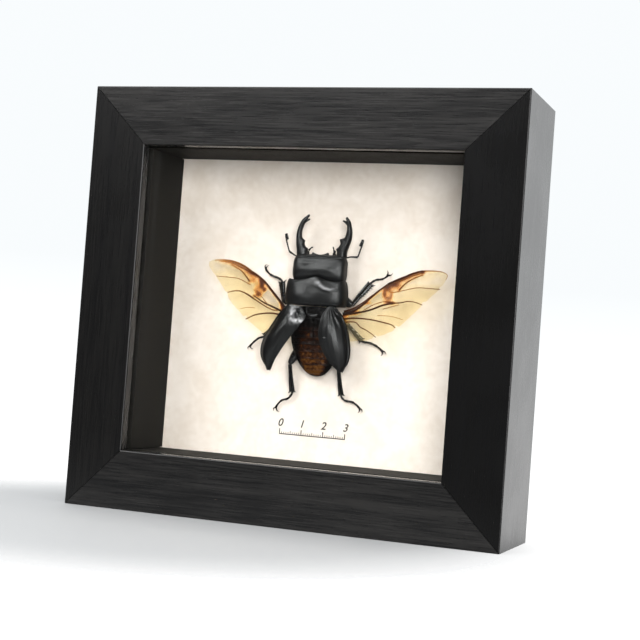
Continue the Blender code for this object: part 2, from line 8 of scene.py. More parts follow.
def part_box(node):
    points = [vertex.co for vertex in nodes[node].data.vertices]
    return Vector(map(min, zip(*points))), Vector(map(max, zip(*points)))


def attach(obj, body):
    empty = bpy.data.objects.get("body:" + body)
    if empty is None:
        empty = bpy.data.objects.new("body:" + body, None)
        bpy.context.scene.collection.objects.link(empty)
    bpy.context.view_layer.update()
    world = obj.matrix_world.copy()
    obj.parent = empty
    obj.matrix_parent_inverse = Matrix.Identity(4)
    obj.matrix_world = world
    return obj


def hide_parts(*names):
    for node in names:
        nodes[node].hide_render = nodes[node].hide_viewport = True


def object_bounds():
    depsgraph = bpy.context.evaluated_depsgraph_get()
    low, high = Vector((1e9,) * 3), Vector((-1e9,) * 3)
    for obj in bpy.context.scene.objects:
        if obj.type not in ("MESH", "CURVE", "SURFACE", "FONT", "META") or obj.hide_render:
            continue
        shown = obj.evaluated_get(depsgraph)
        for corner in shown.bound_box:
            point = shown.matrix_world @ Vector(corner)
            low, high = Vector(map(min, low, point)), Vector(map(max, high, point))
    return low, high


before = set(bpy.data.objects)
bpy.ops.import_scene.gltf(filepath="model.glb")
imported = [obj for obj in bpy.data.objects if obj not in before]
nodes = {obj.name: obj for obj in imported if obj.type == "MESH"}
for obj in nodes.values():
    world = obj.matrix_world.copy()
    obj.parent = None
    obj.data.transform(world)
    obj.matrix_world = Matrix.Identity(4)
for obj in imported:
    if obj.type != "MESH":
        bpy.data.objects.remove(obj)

# A stag beetle specimen in a deep black box frame. Lengths are millimetres unless a note says
# otherwise. A place on the beetle is across, up from the middle of the case, and out from the paper.
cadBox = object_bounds()
mm = 0.001
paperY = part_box("backdrop_paper")[0].y
middleZ = (cadBox[0].z + cadBox[1].z) / 2
bodyX = 1.3
weldReach = 1e-7        # metres
sharpAngle = math.radians(50)


def at(x, up, out):
    return Vector((x * mm, paperY - out * mm, middleZ + up * mm))


def unit(value):
    return min(max(value, 0), 1)


def between(rows, t):
    # a smooth reading of equal-length rows, t from 0 to 1 along them
    last = len(rows) - 1
    spot = unit(t) * last
    i = min(int(spot), last - 1)
    f = spot - i
    near = [rows[max(i - 1, 0)], rows[i], rows[i + 1], rows[min(i + 2, last)]]
    weights = (-0.5 * f + f * f - 0.5 * f ** 3, 1 - 2.5 * f * f + 1.5 * f ** 3,
               0.5 * f + 2 * f * f - 1.5 * f ** 3, -0.5 * f * f + 0.5 * f ** 3)
    return [sum(w * row[k] for w, row in zip(weights, near)) for k in range(len(rows[0]))]


def signedPower(value, power):
    return math.copysign(abs(value) ** power, value)


def hump(value, centre, spread):
    return math.exp(-((value - centre) / spread) ** 2)


def pressed(x, up, rows):
    # the sum of soft rises and dents: rows of across, up, half width, half height and depth
    return sum(deep * hump(x, midX, wide) * hump(up, midUp, tall) for midX, midUp, wide, tall, deep in rows)


def ripple(x, up, pitch, layer):
    # smooth noise over across and up, with another pattern on each layer
    return noise.noise(Vector((x * pitch, up * pitch, layer)))


def ease(low, high, value):
    share = unit((value - low) / (high - low))
    return share * share * (3 - 2 * share)


def distanceTo(path, x, up):
    # how far a point lies from a path of across and up, positive on the path's left hand, and
    # how far along the path that is
    best, along = 1e9, 0
    for i in range(len(path) - 1):
        ax, az = path[i][0], path[i][1]
        dx, dz = path[i + 1][0] - ax, path[i + 1][1] - az
        share = unit(((x - ax) * dx + (up - az) * dz) / (dx * dx + dz * dz))
        gap = math.hypot(x - ax - share * dx, up - az - share * dz)
        if gap < abs(best):
            best = math.copysign(gap, dx * (up - az) - dz * (x - ax))
            along = (i + share) / (len(path) - 1)
    return best, along


# Mesh helpers
def grid(across, along, shape):
    # a grid whose points are moved to shape(s, t), both from 0 to 1, and welded where they meet
    bm = bmesh.new()
    bmesh.ops.create_grid(bm, x_segments=across, y_segments=along, size=1.0)
    for vert in bm.verts:
        vert.co = shape((vert.co.x + 1) / 2, (vert.co.y + 1) / 2)
    bmesh.ops.remove_doubles(bm, verts=bm.verts, dist=weldReach)
    return bm


def skin(around, along, shape):
    # a closed form: a grid wrapped round and welded at its seam and its two ends
    bm = grid(around, along, lambda s, t: shape(2 * math.pi * s, t))
    bmesh.ops.recalc_face_normals(bm, faces=bm.faces)
    return bm


def sheet(across, along, shape):
    # an open sheet with its outer side turned away from the paper
    bm = grid(across, along, shape)
    bmesh.ops.recalc_face_normals(bm, faces=bm.faces)
    if sum(face.normal.y * face.calc_area() for face in bm.faces) > 0:
        bmesh.ops.reverse_faces(bm, faces=bm.faces)
    return bm


def meshed(name, bm):
    mesh = bpy.data.meshes.new(name)
    bm.to_mesh(mesh)
    bm.free()
    return mesh


def placed(name, data):
    made = bpy.data.objects.new(name, data)
    bpy.context.scene.collection.objects.link(made)
    return made


def joined(parts):
    whole = bmesh.new()
    for part in parts:
        mesh = meshed("part", part)
        whole.from_mesh(mesh)
        bpy.data.meshes.remove(mesh)
    return whole


def marked(bm, name, reading):
    # write a number on each vertex for its finish to read, worked out from its place
    layer = bm.verts.layers.float.new(name)
    for vert in bm.verts:
        x, up = vert.co.x / mm, (vert.co.z - middleZ) / mm
        vert[layer] = reading(x, up, (paperY - vert.co.y) / mm)
    return bm


def piece(name, bm, finish, node=None):
    # a finished mesh, in the place of a node of the CAD where one is named
    mesh = meshed(name, bm)
    mesh.materials.append(finish)
    mesh.shade_smooth()
    mesh.set_sharp_from_angle(angle=sharpAngle)
    made = placed(name, mesh)
    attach(made, "root")
    if node:
        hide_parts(node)
    return made


def thickened(made, thickness):
    wall = made.modifiers.new("Wall", "SOLIDIFY")
    wall.thickness = thickness * mm
    wall.offset = -1


def rounded(t, start, end):
    # how wide a form is near its two closed ends, as a share
    share = 1
    if t < start:
        share = math.sqrt(max(0, 1 - (1 - t / start) ** 2))
    if t > 1 - end:
        share = math.sqrt(max(0, 1 - (1 - (1 - t) / end) ** 2))
    return share


def bodyForm(rows, boxy, around, along, ends, bow=None, carve=None):
    # a body section lofted through rows of up, middle, half width, lowest, widest and highest place
    def shape(angle, t):
        up, middle, half, low, wide, top = between(rows, t)
        scale = rounded(t, *ends)
        across = scale * half * signedPower(math.cos(angle), boxy[0])
        rise = signedPower(math.sin(angle), boxy[1])
        out = wide + scale * rise * (top - wide if rise > 0 else wide - low)
        if carve:
            side, lift = carve(across, up, max(rise, 0))
            across += side
            out += lift * ease(0, 0.35, rise) * min(1, scale * 1.5)
        if bow:
            up += bow(across, t)
        return at(middle + across, up, out)
    return skin(around, along, shape)


def limb(rows, around, along, ends=(0.04, 0.04), crest=None):
    # a tapering limb through rows of across, up, out, half width and half thickness. crest takes
    # the turn round the limb and t, and adds to the width and the thickness there
    def shape(angle, t):
        x, up, out, half, thick = between(rows, t)
        ahead, behind = between(rows, min(t + 0.02, 1)), between(rows, max(t - 0.02, 0))
        run = Vector((ahead[0] - behind[0], ahead[1] - behind[1])).normalized()
        scale = rounded(t, *ends)
        wide, deep = math.cos(angle), math.sin(angle)
        extraWide, extraDeep = crest(wide, deep, t) if crest else (0, 0)
        across = scale * (half * wide + extraWide)
        return at(x + run.y * across, up - run.x * across, out + scale * (thick * deep + extraDeep))
    return skin(around, along, shape)


def roundRows(points, radii):
    return [(*point, radius, radius) for point, radius in zip(points, radii)]


def horn(points, radius, around, along):
    # a curved spike through three points of across, up and out
    return limb(roundRows(points, (radius, radius * 0.6, radius * 0.12)), around, along, (0.03, 0.06))


# Shader helpers
class Wire:
    # a shader socket that can be used in Python sums
    def __init__(self, finish, socket):
        self.finish, self.socket = finish, socket

    def worked(self, operation, first, second):
        return self.finish.node("Math", {"operation": operation}, {0: first, 1: second})

    def __add__(self, other):
        return self.worked("ADD", self, other)

    def __radd__(self, other):
        return self.worked("ADD", other, self)

    def __sub__(self, other):
        return self.worked("SUBTRACT", self, other)

    def __rsub__(self, other):
        return self.worked("SUBTRACT", other, self)

    def __mul__(self, other):
        return self.worked("MULTIPLY", self, other)

    def __rmul__(self, other):
        return self.worked("MULTIPLY", other, self)


class Finish:
    # a material, or the world, built up from nodes
    def __init__(self, name, owner=None):
        self.owner = owner or bpy.data.materials.new(name)
        self.owner.use_nodes = True
        self.tree = self.owner.node_tree
        self.tree.nodes.clear()

    def node(self, kind, settings=None, inputs=None, output=0):
        made = self.tree.nodes.new("ShaderNode" + kind)
        for key, value in (settings or {}).items():
            if key == "stops":
                self.setStops(made.color_ramp, value)
            else:
                setattr(made, key, value)
        for key, value in (inputs or {}).items():
            if isinstance(value, Wire):
                self.tree.links.new(value.socket, made.inputs[key])
            else:
                made.inputs[key].default_value = value
        return Wire(self, made.outputs[output]) if made.outputs else None

    def setStops(self, ramp, stops):
        while len(ramp.elements) < len(stops):
            ramp.elements.new(0.5)
        for element, (position, colour) in zip(ramp.elements, stops):
            element.position = position
            element.color = (*colour, 1)

    def place(self, stretch=(1, 1, 1)):
        # object coordinates in millimetres, squeezed along each axis by stretch
        spot = self.node("TexCoord", output=3)
        return self.node("Mapping", inputs={"Vector": spot, "Scale": [s / mm for s in stretch]})

    def cloud(self, spot, scale, detail=3, roughness=0.5, distortion=0):
        return self.node("TexNoise", inputs={"Vector": spot, "Scale": scale, "Detail": detail,
                                             "Roughness": roughness, "Distortion": distortion})

    def cells(self, spot, scale):
        return self.node("TexVoronoi", inputs={"Vector": spot, "Scale": scale})

    def spread(self, value, low, high):
        # a value between low and high, eased to run from 0 to 1
        return self.node("MapRange", {"interpolation_type": "SMOOTHSTEP"}, {0: value, 1: low, 2: high})

    def read(self, name):
        return self.node("Attribute", {"attribute_name": name}, output=2)

    def ramp(self, value, stops):
        return self.node("ValToRGB", {"stops": stops}, {0: value})

    def mix(self, share, first, second):
        first, second = [(*c, 1) if isinstance(c, tuple) else c for c in (first, second)]
        return self.node("Mix", {"data_type": "RGBA"}, {0: share, 6: first, 7: second}, output=2)

    def bump(self, height, depth, strength=1):
        # depth is how far the height's full range reaches, in millimetres
        return self.node("Bump", inputs={"Height": height, "Distance": depth * mm, "Strength": strength})

    def principled(self, **values):
        named = {key.replace("_", " "): (*value, 1) if isinstance(value, tuple) else value
                 for key, value in values.items()}
        return self.node("BsdfPrincipled", inputs=named)

    def done(self, surface):
        self.node("OutputMaterial", inputs={"Surface": surface})
        return self.owner

    def painted(self, **values):
        return self.done(self.principled(**values))


# The case
woodLook = {"dark": (0.003, 0.003, 0.0032), "light": (0.011, 0.0106, 0.0102), "grain": 1.5, "run": 0.035,
            "rough": 0.23, "depth": 0.018}


def woodFinish(name, axis, tone=1, relief=1, shine=0.22):
    # black stained wood with its grain along an axis, 0 for across and 2 for up
    finish = Finish(name)
    along = [1, 1, 1]
    along[axis] = woodLook["run"]
    spot = finish.place(along)
    lines = finish.cloud(spot, woodLook["grain"], 6, 0.62, 0.25)
    bands = finish.cloud(spot, 0.22, 3, 0.5, 0.6)
    along[axis] = woodLook["run"] * 4
    pores = finish.spread(finish.cloud(finish.place(along), 2.6, 2), 0.6, 0.72)
    worn = finish.spread(finish.cloud(finish.place((1, 1, 1)), 0.035, 3), 0.35, 0.75)
    shade = finish.spread(lines * 0.6 + bands * 0.4 + pores * -0.12 + worn * 0.05, 0.36, 0.66)
    # tone scales the light grain colour: painted light and shade, each rail lighter or darker by how light
    # falls on it
    light = tuple(tone * c for c in woodLook["light"])
    colour = finish.mix(shade, woodLook["dark"], light)
    rough = woodLook["rough"] + lines * 0.12 + worn * -0.04
    normal = finish.bump(lines * 0.75 + bands * 0.25 + pores * -0.5, relief * woodLook["depth"])
    return finish.painted(Base_Color=colour, Roughness=rough, Normal=normal, Specular_IOR_Level=shine)


def linerFinish():
    # thin dark stained strip, rougher than the moulding, its grain along the depth of the case
    finish = Finish("linerStrip")
    spot = finish.place((0.5, 0.06, 0.5))
    lines = finish.cloud(spot, 2.2, 5, 0.6, 0.2)
    patches = finish.cloud(finish.place(), 0.09, 3)
    shade = finish.spread(lines * 0.55 + patches * 0.45, 0.34, 0.68)
    colour = finish.mix(shade, (0.004, 0.0037, 0.003), (0.0145, 0.0132, 0.0106))
    return finish.painted(Base_Color=colour, Roughness=0.66 + shade * 0.15, Normal=finish.bump(lines, 0.02),
                          Specular_IOR_Level=0.12)


def paperFinish():
    # cream handmade paper with cloudy mottling and short fibres
    finish = Finish("fibrePaper")
    spot = finish.place()
    clouds = finish.cloud(spot, 0.055, 5, 0.62, 0.8)
    mottle = finish.cloud(spot, 0.35, 4, 0.6)
    fibres = finish.spread(finish.cloud(finish.place((0.35, 1, 1)), 1.7, 4, 0.6, 1.6), 0.58, 0.7)
    fibresUp = finish.spread(finish.cloud(finish.place((1, 1, 0.3)), 1.9, 4, 0.6, 1.8), 0.6, 0.72)
    shade = finish.spread(clouds * 0.65 + mottle * 0.35, 0.3, 0.7)
    ground = finish.mix(shade, (0.775, 0.668, 0.578), (0.905, 0.808, 0.735))
    flecked = finish.mix(fibres * 0.22 + fibresUp * 0.18, ground, (0.66, 0.565, 0.465))
    normal = finish.bump(mottle * 0.4 + fibres * 0.35 + fibresUp * 0.35, 0.05, 0.6)
    return finish.painted(Base_Color=flecked, Roughness=0.88, Normal=normal, Specular_IOR_Level=0.25)


def glassFinish():
    # clear picture glass: it lets light and sight straight through, and mirrors a little
    finish = Finish("pictureGlass")
    facing = finish.node("LayerWeight", inputs={"Blend": 0.5}, output=1)
    share = 0.01 + facing * facing * facing * 0.12
    clear = finish.node("BsdfTransparent", inputs={"Color": (0.985, 0.992, 0.988, 1)})
    gloss = finish.node("BsdfGlossy", inputs={"Color": (1, 1, 1, 1), "Roughness": 0.03})
    return finish.done(finish.node("MixShader", inputs={0: share, 1: clear, 2: gloss}))


def boardFinish(name, low, high, fibre, rough):
    finish = Finish(name)
    spot = finish.place()
    fine = finish.cloud(spot, fibre, 5, 0.7, 0.8)
    broad = finish.cloud(spot, 0.05, 3)
    colour = finish.mix(finish.spread(fine * 0.7 + broad * 0.3, 0.35, 0.65), low, high)
    return finish.painted(Base_Color=colour, Roughness=rough, Normal=finish.bump(fine, 0.08, 0.7))


def steelFinish():
    # zinc plated strip, rolled along its length, with dull spots
    finish = Finish("platedSteel")
    lines = finish.cloud(finish.place((0.06, 1, 1)), 5, 4)
    dull = finish.spread(finish.cloud(finish.place(), 0.5, 4, 0.6), 0.45, 0.75)
    colour = finish.mix(dull, (0.62, 0.62, 0.6), (0.4, 0.4, 0.38))
    return finish.painted(Base_Color=colour, Roughness=0.26 + dull * 0.25 + lines * 0.08, Metallic=1,
                          Normal=finish.bump(lines, 0.01))


def dress(name, material):
    # give a node of the CAD its finish
    nodes[name].data.materials.clear()
    nodes[name].data.materials.append(material)


def dressCase():
    finishes = {
        # the rails' tones are painted light and shade: the top and bottom rails lighter, the left and right
        # ones darker
        "rail_top": woodFinish("railWoodTopPaintedLight", 0, 2), "rail_bottom": woodFinish("railWoodBottomPaintedLight", 0, 1.3),
        "rail_left": woodFinish("railWoodLeftPaintedShade", 2, 0.55, 0.3, 0.18),
        "rail_right": woodFinish("railWoodRightPaintedShade", 2, 0.22, 0.3, 0.15),
        "glass_pane": glassFinish(), "backdrop_paper": paperFinish(),
        "mount_board": boardFinish("mountBoard", (0.62, 0.58, 0.5), (0.76, 0.73, 0.66), 1.2, 0.9),
        "back_panel": boardFinish("pressedBoard", (0.105, 0.052, 0.026), (0.235, 0.13, 0.07), 0.9, 0.62)}
    liner, steel = linerFinish(), steelFinish()
    for name in ("liner_top", "liner_bottom", "liner_left", "liner_right"):
        finishes[name] = liner
    for name in nodes:
        if name.startswith(("flex_tab", "sawtooth", "hanger_pin")):
            finishes[name] = steel
    for name, material in finishes.items():
        dress(name, material)


# The beetle's finishes
# worn is the pale grey that the pale mark lays on: painted highlight along the shield's crease, and on the
# case root partly worn skin and partly painted highlight
chitinLook = {"worn": (0.44, 0.43, 0.44), "relief": 0.1, "pitDepth": 0.008}


def chitinFinish(name, rough, pits=3.2, wrinkle=0.02, coat=0.1, shine=0.34,
                 deep=(0.0014, 0.0014, 0.0016), dusty=(0.0042, 0.0042, 0.0047)):
    # black shell, satin, with fine pits and faint wrinkles, duller where it turns away
    finish = Finish(name)
    spot = finish.place()
    pitted = finish.spread(finish.cells(spot, pits), 0.05, 0.42)
    wrinkled = finish.cloud(spot, 1.1, 5, 0.6, 0.5)
    dust = finish.spread(finish.cloud(spot, 0.28, 4, 0.65), 0.45, 0.75)
    # the pale mark paints the shell grey: a painted highlight on the crease, and partly worn skin, partly
    # painted highlight on the case root
    worn = finish.read("pale")
    colour = finish.mix(worn, finish.mix(dust, deep, dusty), chitinLook["worn"])
    relief = chitinLook["relief"]
    height = pitted * (chitinLook["pitDepth"] / relief) + wrinkled * (wrinkle / relief)
    turned = finish.spread(finish.node("LayerWeight", inputs={"Blend": 0.5}, output=1), 0.45, 0.9)
    return finish.painted(Base_Color=colour, Roughness=rough + dust * 0.1 + pitted * -0.03 + turned * 0.4,
                          Normal=finish.bump(height, relief), Specular_IOR_Level=shine, Coat_Weight=coat,
                          Coat_Roughness=0.22)


def bodyFinish():
    # the hind body: black at its edges, red-brown to amber on the soft plates of the back
    finish = Finish("abdomenShell")
    spot = finish.place()
    amber = finish.read("amber")
    cloud = finish.cloud(spot, 0.7, 5, 0.65, 0.4)
    streaks = finish.cloud(finish.place((0.5, 1, 2.2)), 1.6, 4)
    warm = finish.spread(amber + (cloud - 0.5) * 0.45 + (streaks - 0.5) * 0.3, 0.02, 0.98)
    colour = finish.ramp(warm, [(0, (0.0016, 0.0013, 0.0012)), (0.3, (0.0034, 0.0016, 0.0012)),
                                (0.6, (0.012, 0.0034, 0.0011)), (0.85, (0.03, 0.009, 0.0018)),
                                (1, (0.082, 0.031, 0.006))])
    height = cloud * 0.7 + finish.cells(spot, 2.6) * 0.3
    return finish.painted(Base_Color=colour, Roughness=0.34 + cloud * 0.12,
                          Normal=finish.bump(height, 0.02), Specular_IOR_Level=0.06)


def membraneFinish():
    # clear amber skin of the hind wing, browner where the stain mark says, almost colourless where
    # the warm mark is low
    finish = Finish("wingMembrane")
    spot = finish.place()
    cloud = finish.cloud(spot, 0.3, 5, 0.65, 0.8)
    crinkle = finish.cloud(finish.place((1, 1, 0.6)), 1.3, 5, 0.6, 0.8)
    tone = finish.spread(finish.read("stain") + (cloud - 0.5) * 0.16 + (crinkle - 0.5) * 0.1, 0, 1)
    colour = finish.ramp(tone, [(0, (0.96, 0.8, 0.5)), (0.2, (0.9, 0.53, 0.14)),
                                (0.45, (0.66, 0.24, 0.024)), (0.7, (0.3, 0.08, 0.01)),
                                (1, (0.07, 0.018, 0.005))])
    skinShader = finish.principled(Base_Color=colour, Roughness=0.36 + crinkle * 0.12,
                                   Normal=finish.bump(crinkle, 0.06, 0.8), Specular_IOR_Level=0.15)
    amber = finish.node("BsdfTransparent", inputs={"Color": (0.999, 0.962, 0.845, 1)})
    pale = finish.node("BsdfTransparent", inputs={"Color": (0.998, 0.98, 0.945, 1)})
    warm = finish.read("warm") + (cloud - 0.5) * 1.2
    clear = finish.node("MixShader", inputs={0: finish.spread(warm, 0, 1), 1: pale, 2: amber})
    share = 0.03 + tone * 0.86
    return finish.done(finish.node("MixShader", inputs={0: share, 1: clear, 2: skinShader}))


def veinFinish():
    finish = Finish("wingVein")
    dark = finish.read("dark")
    cloud = finish.cloud(finish.place(), 1.4, 3)
    stops = [(0, (0.48, 0.23, 0.045)), (0.3, (0.23, 0.08, 0.01)), (0.65, (0.07, 0.016, 0.002)),
             (1, (0.01, 0.003, 0.001))]
    colour = finish.ramp(dark + (cloud - 0.5) * 0.2, stops)
    return finish.painted(Base_Color=colour, Roughness=0.45, Normal=finish.bump(cloud, 0.04),
                          Specular_IOR_Level=0.15)


def plainFinish(name, low, high, rough):
    finish = Finish(name)
    cloud = finish.cloud(finish.place(), 1.6, 4)
    return finish.painted(Base_Color=finish.mix(cloud, low, high), Roughness=rough,
                          Normal=finish.bump(cloud, 0.03))


# The head: rows of up, half width, and lowest, widest and highest place
headPlan = {
    "middle": bodyX + 0.5, "boxy": (0.46, 0.64), "around": 176, "along": 130, "ends": (0.06, 0.02),
    "rows": [(24.1, 9.3, 5.7, 7.4, 9.3), (23.5, 10.8, 4.6, 7.4, 10.6), (21.6, 11.6, 4, 7.6, 11.5),
             (18.5, 11.9, 3.6, 7.8, 12.3), (15.6, 11.9, 3.4, 7.8, 12.4), (13.9, 11.7, 3.6, 7.8, 11.4),
             (12.6, 11.2, 4, 7.8, 10.2)],
    "dents": [(-5.4, 17.4, 3, 1.5, 0.5), (4.2, 17.5, 2.8, 1.4, 0.46), (-0.6, 18.6, 1.3, 2.2, -0.3),
              (-5, 20.2, 3.4, 0.9, -0.3), (8.2, 16.4, 2.6, 2, -0.2), (-1, 15.4, 5.5, 0.8, -0.35)],
}


def frontMargin(across):
    # how far the pronotum's front edge, and the head's back edge with it, bows along the body
    reach = abs(across)
    return 1.3 * hump(across, 0, 3) - 0.4 * hump(reach, 9, 3) + 0.6 * (reach / 13.5) ** 8


def headCarve(across, up, rise):
    # a brow along the front, a groove behind it and soft rises at each side of the middle
    reach = abs(across)
    lift = 0.3 * hump(up, 23.3, 0.35) * ease(10.6, 8.6, reach) - 0.22 * hump(up, 22.6, 0.4)
    lift += pressed(across, up, headPlan["dents"]) + 0.05 * ripple(across, up, 0.5, 3)
    side = math.copysign(0.22, across) * hump(up, 20.9, 1.5) * ease(0.9, 0.1, rise) * ease(8, 10.5, reach)
    return side, lift


def headShield():
    plan = headPlan
    rows = [(row[0], plan["middle"], *row[1:]) for row in plan["rows"]]

    def bowBack(across, t):
        return frontMargin(across) * unit(2.5 * t - 1.2)

    return bodyForm(rows, plan["boxy"], plan["around"], plan["along"], plan["ends"], bowBack, headCarve)


# The jaws: rows of across, up, out, half width and half thickness, teeth by place, size and spread
jawPlan = {
    "left": {
        "rows": [(-6.4, 21.5, 7.2, 2.6, 1.9), (-6.9, 23.6, 7.4, 2.5, 2), (-7.4, 26, 7.6, 2.2, 1.9),
                 (-8.2, 28.6, 7.8, 1.75, 1.7), (-8.7, 31.2, 8, 1.3, 1.5), (-8.6, 33.8, 8.2, 1.1, 1.35),
                 (-7.9, 36.4, 8.3, 1, 1.2), (-6.6, 38.8, 8.4, 0.85, 1), (-4.6, 41, 8.4, 0.42, 0.45)],
        "inner": 1, "teeth": [(0.235, 0.9, 0.055), (0.415, 0.95, 0.08)],
        "fork": [(-7.1, 37.6, 8.3), (-6, 38.5, 8.3), (-4.2, 39.2, 8.3)],
    },
    "right": {
        "rows": [(10.4, 21.5, 7.2, 2.6, 1.9), (10.9, 23.8, 7.4, 2.3, 2), (11.3, 26.4, 7.6, 2.2, 1.9),
                 (12.4, 28.8, 7.8, 1.95, 1.7), (13.5, 31.3, 8, 1.6, 1.5), (14, 33.8, 8.2, 1.3, 1.35),
                 (13.9, 36.2, 8.3, 1.05, 1.2), (13.4, 38.4, 8.4, 0.85, 1), (12.2, 40.5, 8.4, 0.42, 0.45)],
        "inner": -1, "teeth": [(0.235, 0.8, 0.05), (0.415, 1.6, 0.085)],
        "fork": [(13.4, 37.2, 8.3), (12.3, 38.2, 8.3), (10.6, 39, 8.3)],
    },
    "forkRadii": (0.75, 0.62, 0.3),
}


def jaw(side):
    plan = jawPlan[side]

    def crest(wide, deep, t):
        inward = max(0, wide * plan["inner"])
        reach = sum(size * max(0, 1 - abs(t - place) / spread) ** 1.3
                    for place, size, spread in plan["teeth"])
        ridge = 0.14 * (1 - t) * hump(wide * plan["inner"], -0.25, 0.3) * max(0, deep)
        return plan["inner"] * reach * inward ** 2.2, ridge - 0.16 * reach * deep * inward

    fork = roundRows(plan["fork"], jawPlan["forkRadii"])
    return joined([limb(plan["rows"], 36, 150, (0.03, 0.02), crest), limb(fork, 16, 20, (0.1, 0.12))])


feelerPlan = {
    "left": {
        "stem": [(-8.4, 22.6, 7), (-10.8, 23.6, 7.1), (-13.2, 25, 7.2)],
        "whip": (-15, 29.9, 7), "club": (-15.5, 32.5, 7),
    },
    "right": {
        "stem": [(11.4, 22.7, 7), (14.6, 23.7, 7.1), (18.2, 23.8, 7.2)],
        "whip": (19.4, 28.3, 7), "club": (20.1, 31.2, 7),
    },
    "beads": 6, "lamellae": 4, "stemRadii": (0.36, 0.33, 0.5), "beadRadii": (0.22, 0.36, 0.28),
}


def feeler(side):
    # an elbowed antenna: a long first joint, a row of beads and a comb-like club
    plan = feelerPlan[side]
    inner = 1 if side == "left" else -1
    parts = [limb(roundRows(plan["stem"], feelerPlan["stemRadii"]), 12, 26)]
    start, end, tip = Vector(plan["stem"][-1]), Vector(plan["whip"]), Vector(plan["club"])
    count = feelerPlan["beads"]
    for i in range(count):
        low, high = start.lerp(end, i / count), start.lerp(end, (i + 1.05) / count)
        bead = roundRows((low, low.lerp(high, 0.55), high), feelerPlan["beadRadii"])
        parts.append(limb(bead, 10, 10, (0.12, 0.2)))
    count = feelerPlan["lamellae"]
    run = tip - end
    for i in range(count):
        foot = end + run * (i + 0.4) / count
        leaf = foot + Vector((inner * (1.15 - 0.1 * i), 0.4, 0)) + run.normalized() * 0.15
        rows = [(*(foot - Vector((inner * 0.35, 0, 0))), 0.36, 0.42), (*foot.lerp(leaf, 0.5), 0.42, 0.48),
                (*leaf, 0.26, 0.36)]
        parts.append(limb(rows, 12, 14, (0.2, 0.35)))
    core = [(*end, 0.2, 0.2), (*end.lerp(tip, 0.5), 0.42, 0.36), (*tip, 0.36, 0.3)]
    return joined(parts + [limb(core, 12, 16, (0.1, 0.3))])


mouthPlan = {
    "palps": [[(-3.9, 22.9, 6), (-4.6, 24.2, 6), (-4.6, 25.6, 6.1), (-3.9, 26.8, 6.1), (-2.8, 27.4, 6)],
              [(5.4, 22.9, 6), (6.5, 24.2, 6), (6.9, 25.5, 6.1), (6.7, 26.8, 6.1), (6.2, 28, 6)],
              [(8.3, 23.2, 5.8), (7.6, 24.2, 5.8), (7.3, 25, 5.8), (7.3, 25.7, 5.8), (7.4, 26.3, 5.8)],
              [(-6.1, 23.2, 5.8), (-5.6, 24.2, 5.8), (-5.3, 25, 5.8), (-5.4, 25.7, 5.8),
               (-5.7, 26.3, 5.8)]],
    "palpRadius": 0.42,
    "lip": [(-2.9, 22.6), (-3, 23.6), (-2.35, 25.1), (-0.9, 24.5), (1.2, 24.05), (3.2, 24.5), (4.75, 25.2),
            (5.2, 23.6), (5, 22.6)],
    "lipOut": 7.7, "lipThick": 1.3, "palpTaper": (1, 1, 0.95, 0.85, 0.6), "lipRound": 0.22,
}


def palp(points, radius):
    def crest(wide, deep, t):
        pinch = -0.35 * radius * (0.5 + 0.5 * math.cos(t * 2 * math.pi * 4)) ** 3
        return pinch * wide, pinch * deep
    radii = [radius * share for share in mouthPlan["palpTaper"]]
    return limb(roundRows(points, radii), 12, 48, (0.05, 0.08), crest)


def lip():
    # the notched plate between the jaws
    bm = bmesh.new()
    ring = [bm.verts.new(at(x, up, mouthPlan["lipOut"])) for x, up in mouthPlan["lip"]]
    run = bmesh.ops.extrude_face_region(bm, geom=[bm.faces.new(ring)])
    back = [item for item in run["geom"] if isinstance(item, bmesh.types.BMVert)]
    bmesh.ops.translate(bm, verts=back, vec=(0, mouthPlan["lipThick"] * mm, 0))
    bmesh.ops.recalc_face_normals(bm, faces=bm.faces)
    bmesh.ops.bevel(bm, geom=bm.edges[:], offset=mouthPlan["lipRound"] * mm, segments=3, profile=0.5,
                    affect="EDGES", material=-1)
    return bm


eyePlan = {"aside": 11, "up": 19.6, "out": 5.8, "reach": (0.45, 1.4, 1.2)}


def eye(side):
    # a low dome on the side of the head
    wide, tall, deep = eyePlan["reach"]
    x = headPlan["middle"] + side * eyePlan["aside"]

    def shape(angle, t):
        turn = math.pi * t
        return at(x + side * wide * math.sin(turn) * math.cos(angle), eyePlan["up"] + tall * math.cos(turn),
                  eyePlan["out"] + deep * math.sin(turn) * math.sin(angle))
    return skin(32, 20, shape)


# The shield behind the head
shieldPlan = {
    "boxy": (0.5, 0.76), "around": 200, "along": 150, "ends": (0.06, 0.05),
    "rows": [(13.2, 12.2, 4, 8.4, 12.6), (12.6, 12.9, 3.4, 8.4, 13.4), (10.6, 13.4, 3, 8.2, 14.1),
             (8, 13.7, 2.8, 8, 14.4), (5, 13.8, 2.8, 8, 14.4), (2.8, 13.4, 3, 8, 13.9),
             (2.1, 12.6, 3.6, 8, 13)],
    "crease": [(-0.4, 15), (0.6, 13.5), (2.3, 12), (3.3, 10.8), (5.2, 9.7), (7.9, 9.2), (10.4, 10),
               (10.9, 11.6)],
    "dents": [(0.4, 9.6, 1, 2.6, -0.5), (-5.6, 5.6, 4, 3.2, 0.9), (-10.5, 9, 1.6, 3, -0.25)],
}


def shieldCarve(across, up, rise):
    # a thin rim all round, a soft dome, and a pressed hollow on the right behind the front edge
    reach = abs(across)
    lift = -0.1 * hump(up, 3.1, 0.3) * ease(12.4, 10.6, reach)
    gap, along = distanceTo(shieldPlan["crease"], across, up)
    lift -= 1 * ease(-1.1, 2.8, gap) * ease(12.4, 10.4, across)
    lift += 0.22 * hump(gap, -0.7, 0.7) * ease(1, 0.8, along)
    lift += pressed(across, up, shieldPlan["dents"]) + 0.08 * ripple(across, up, 0.35, 7)
    return 0, lift


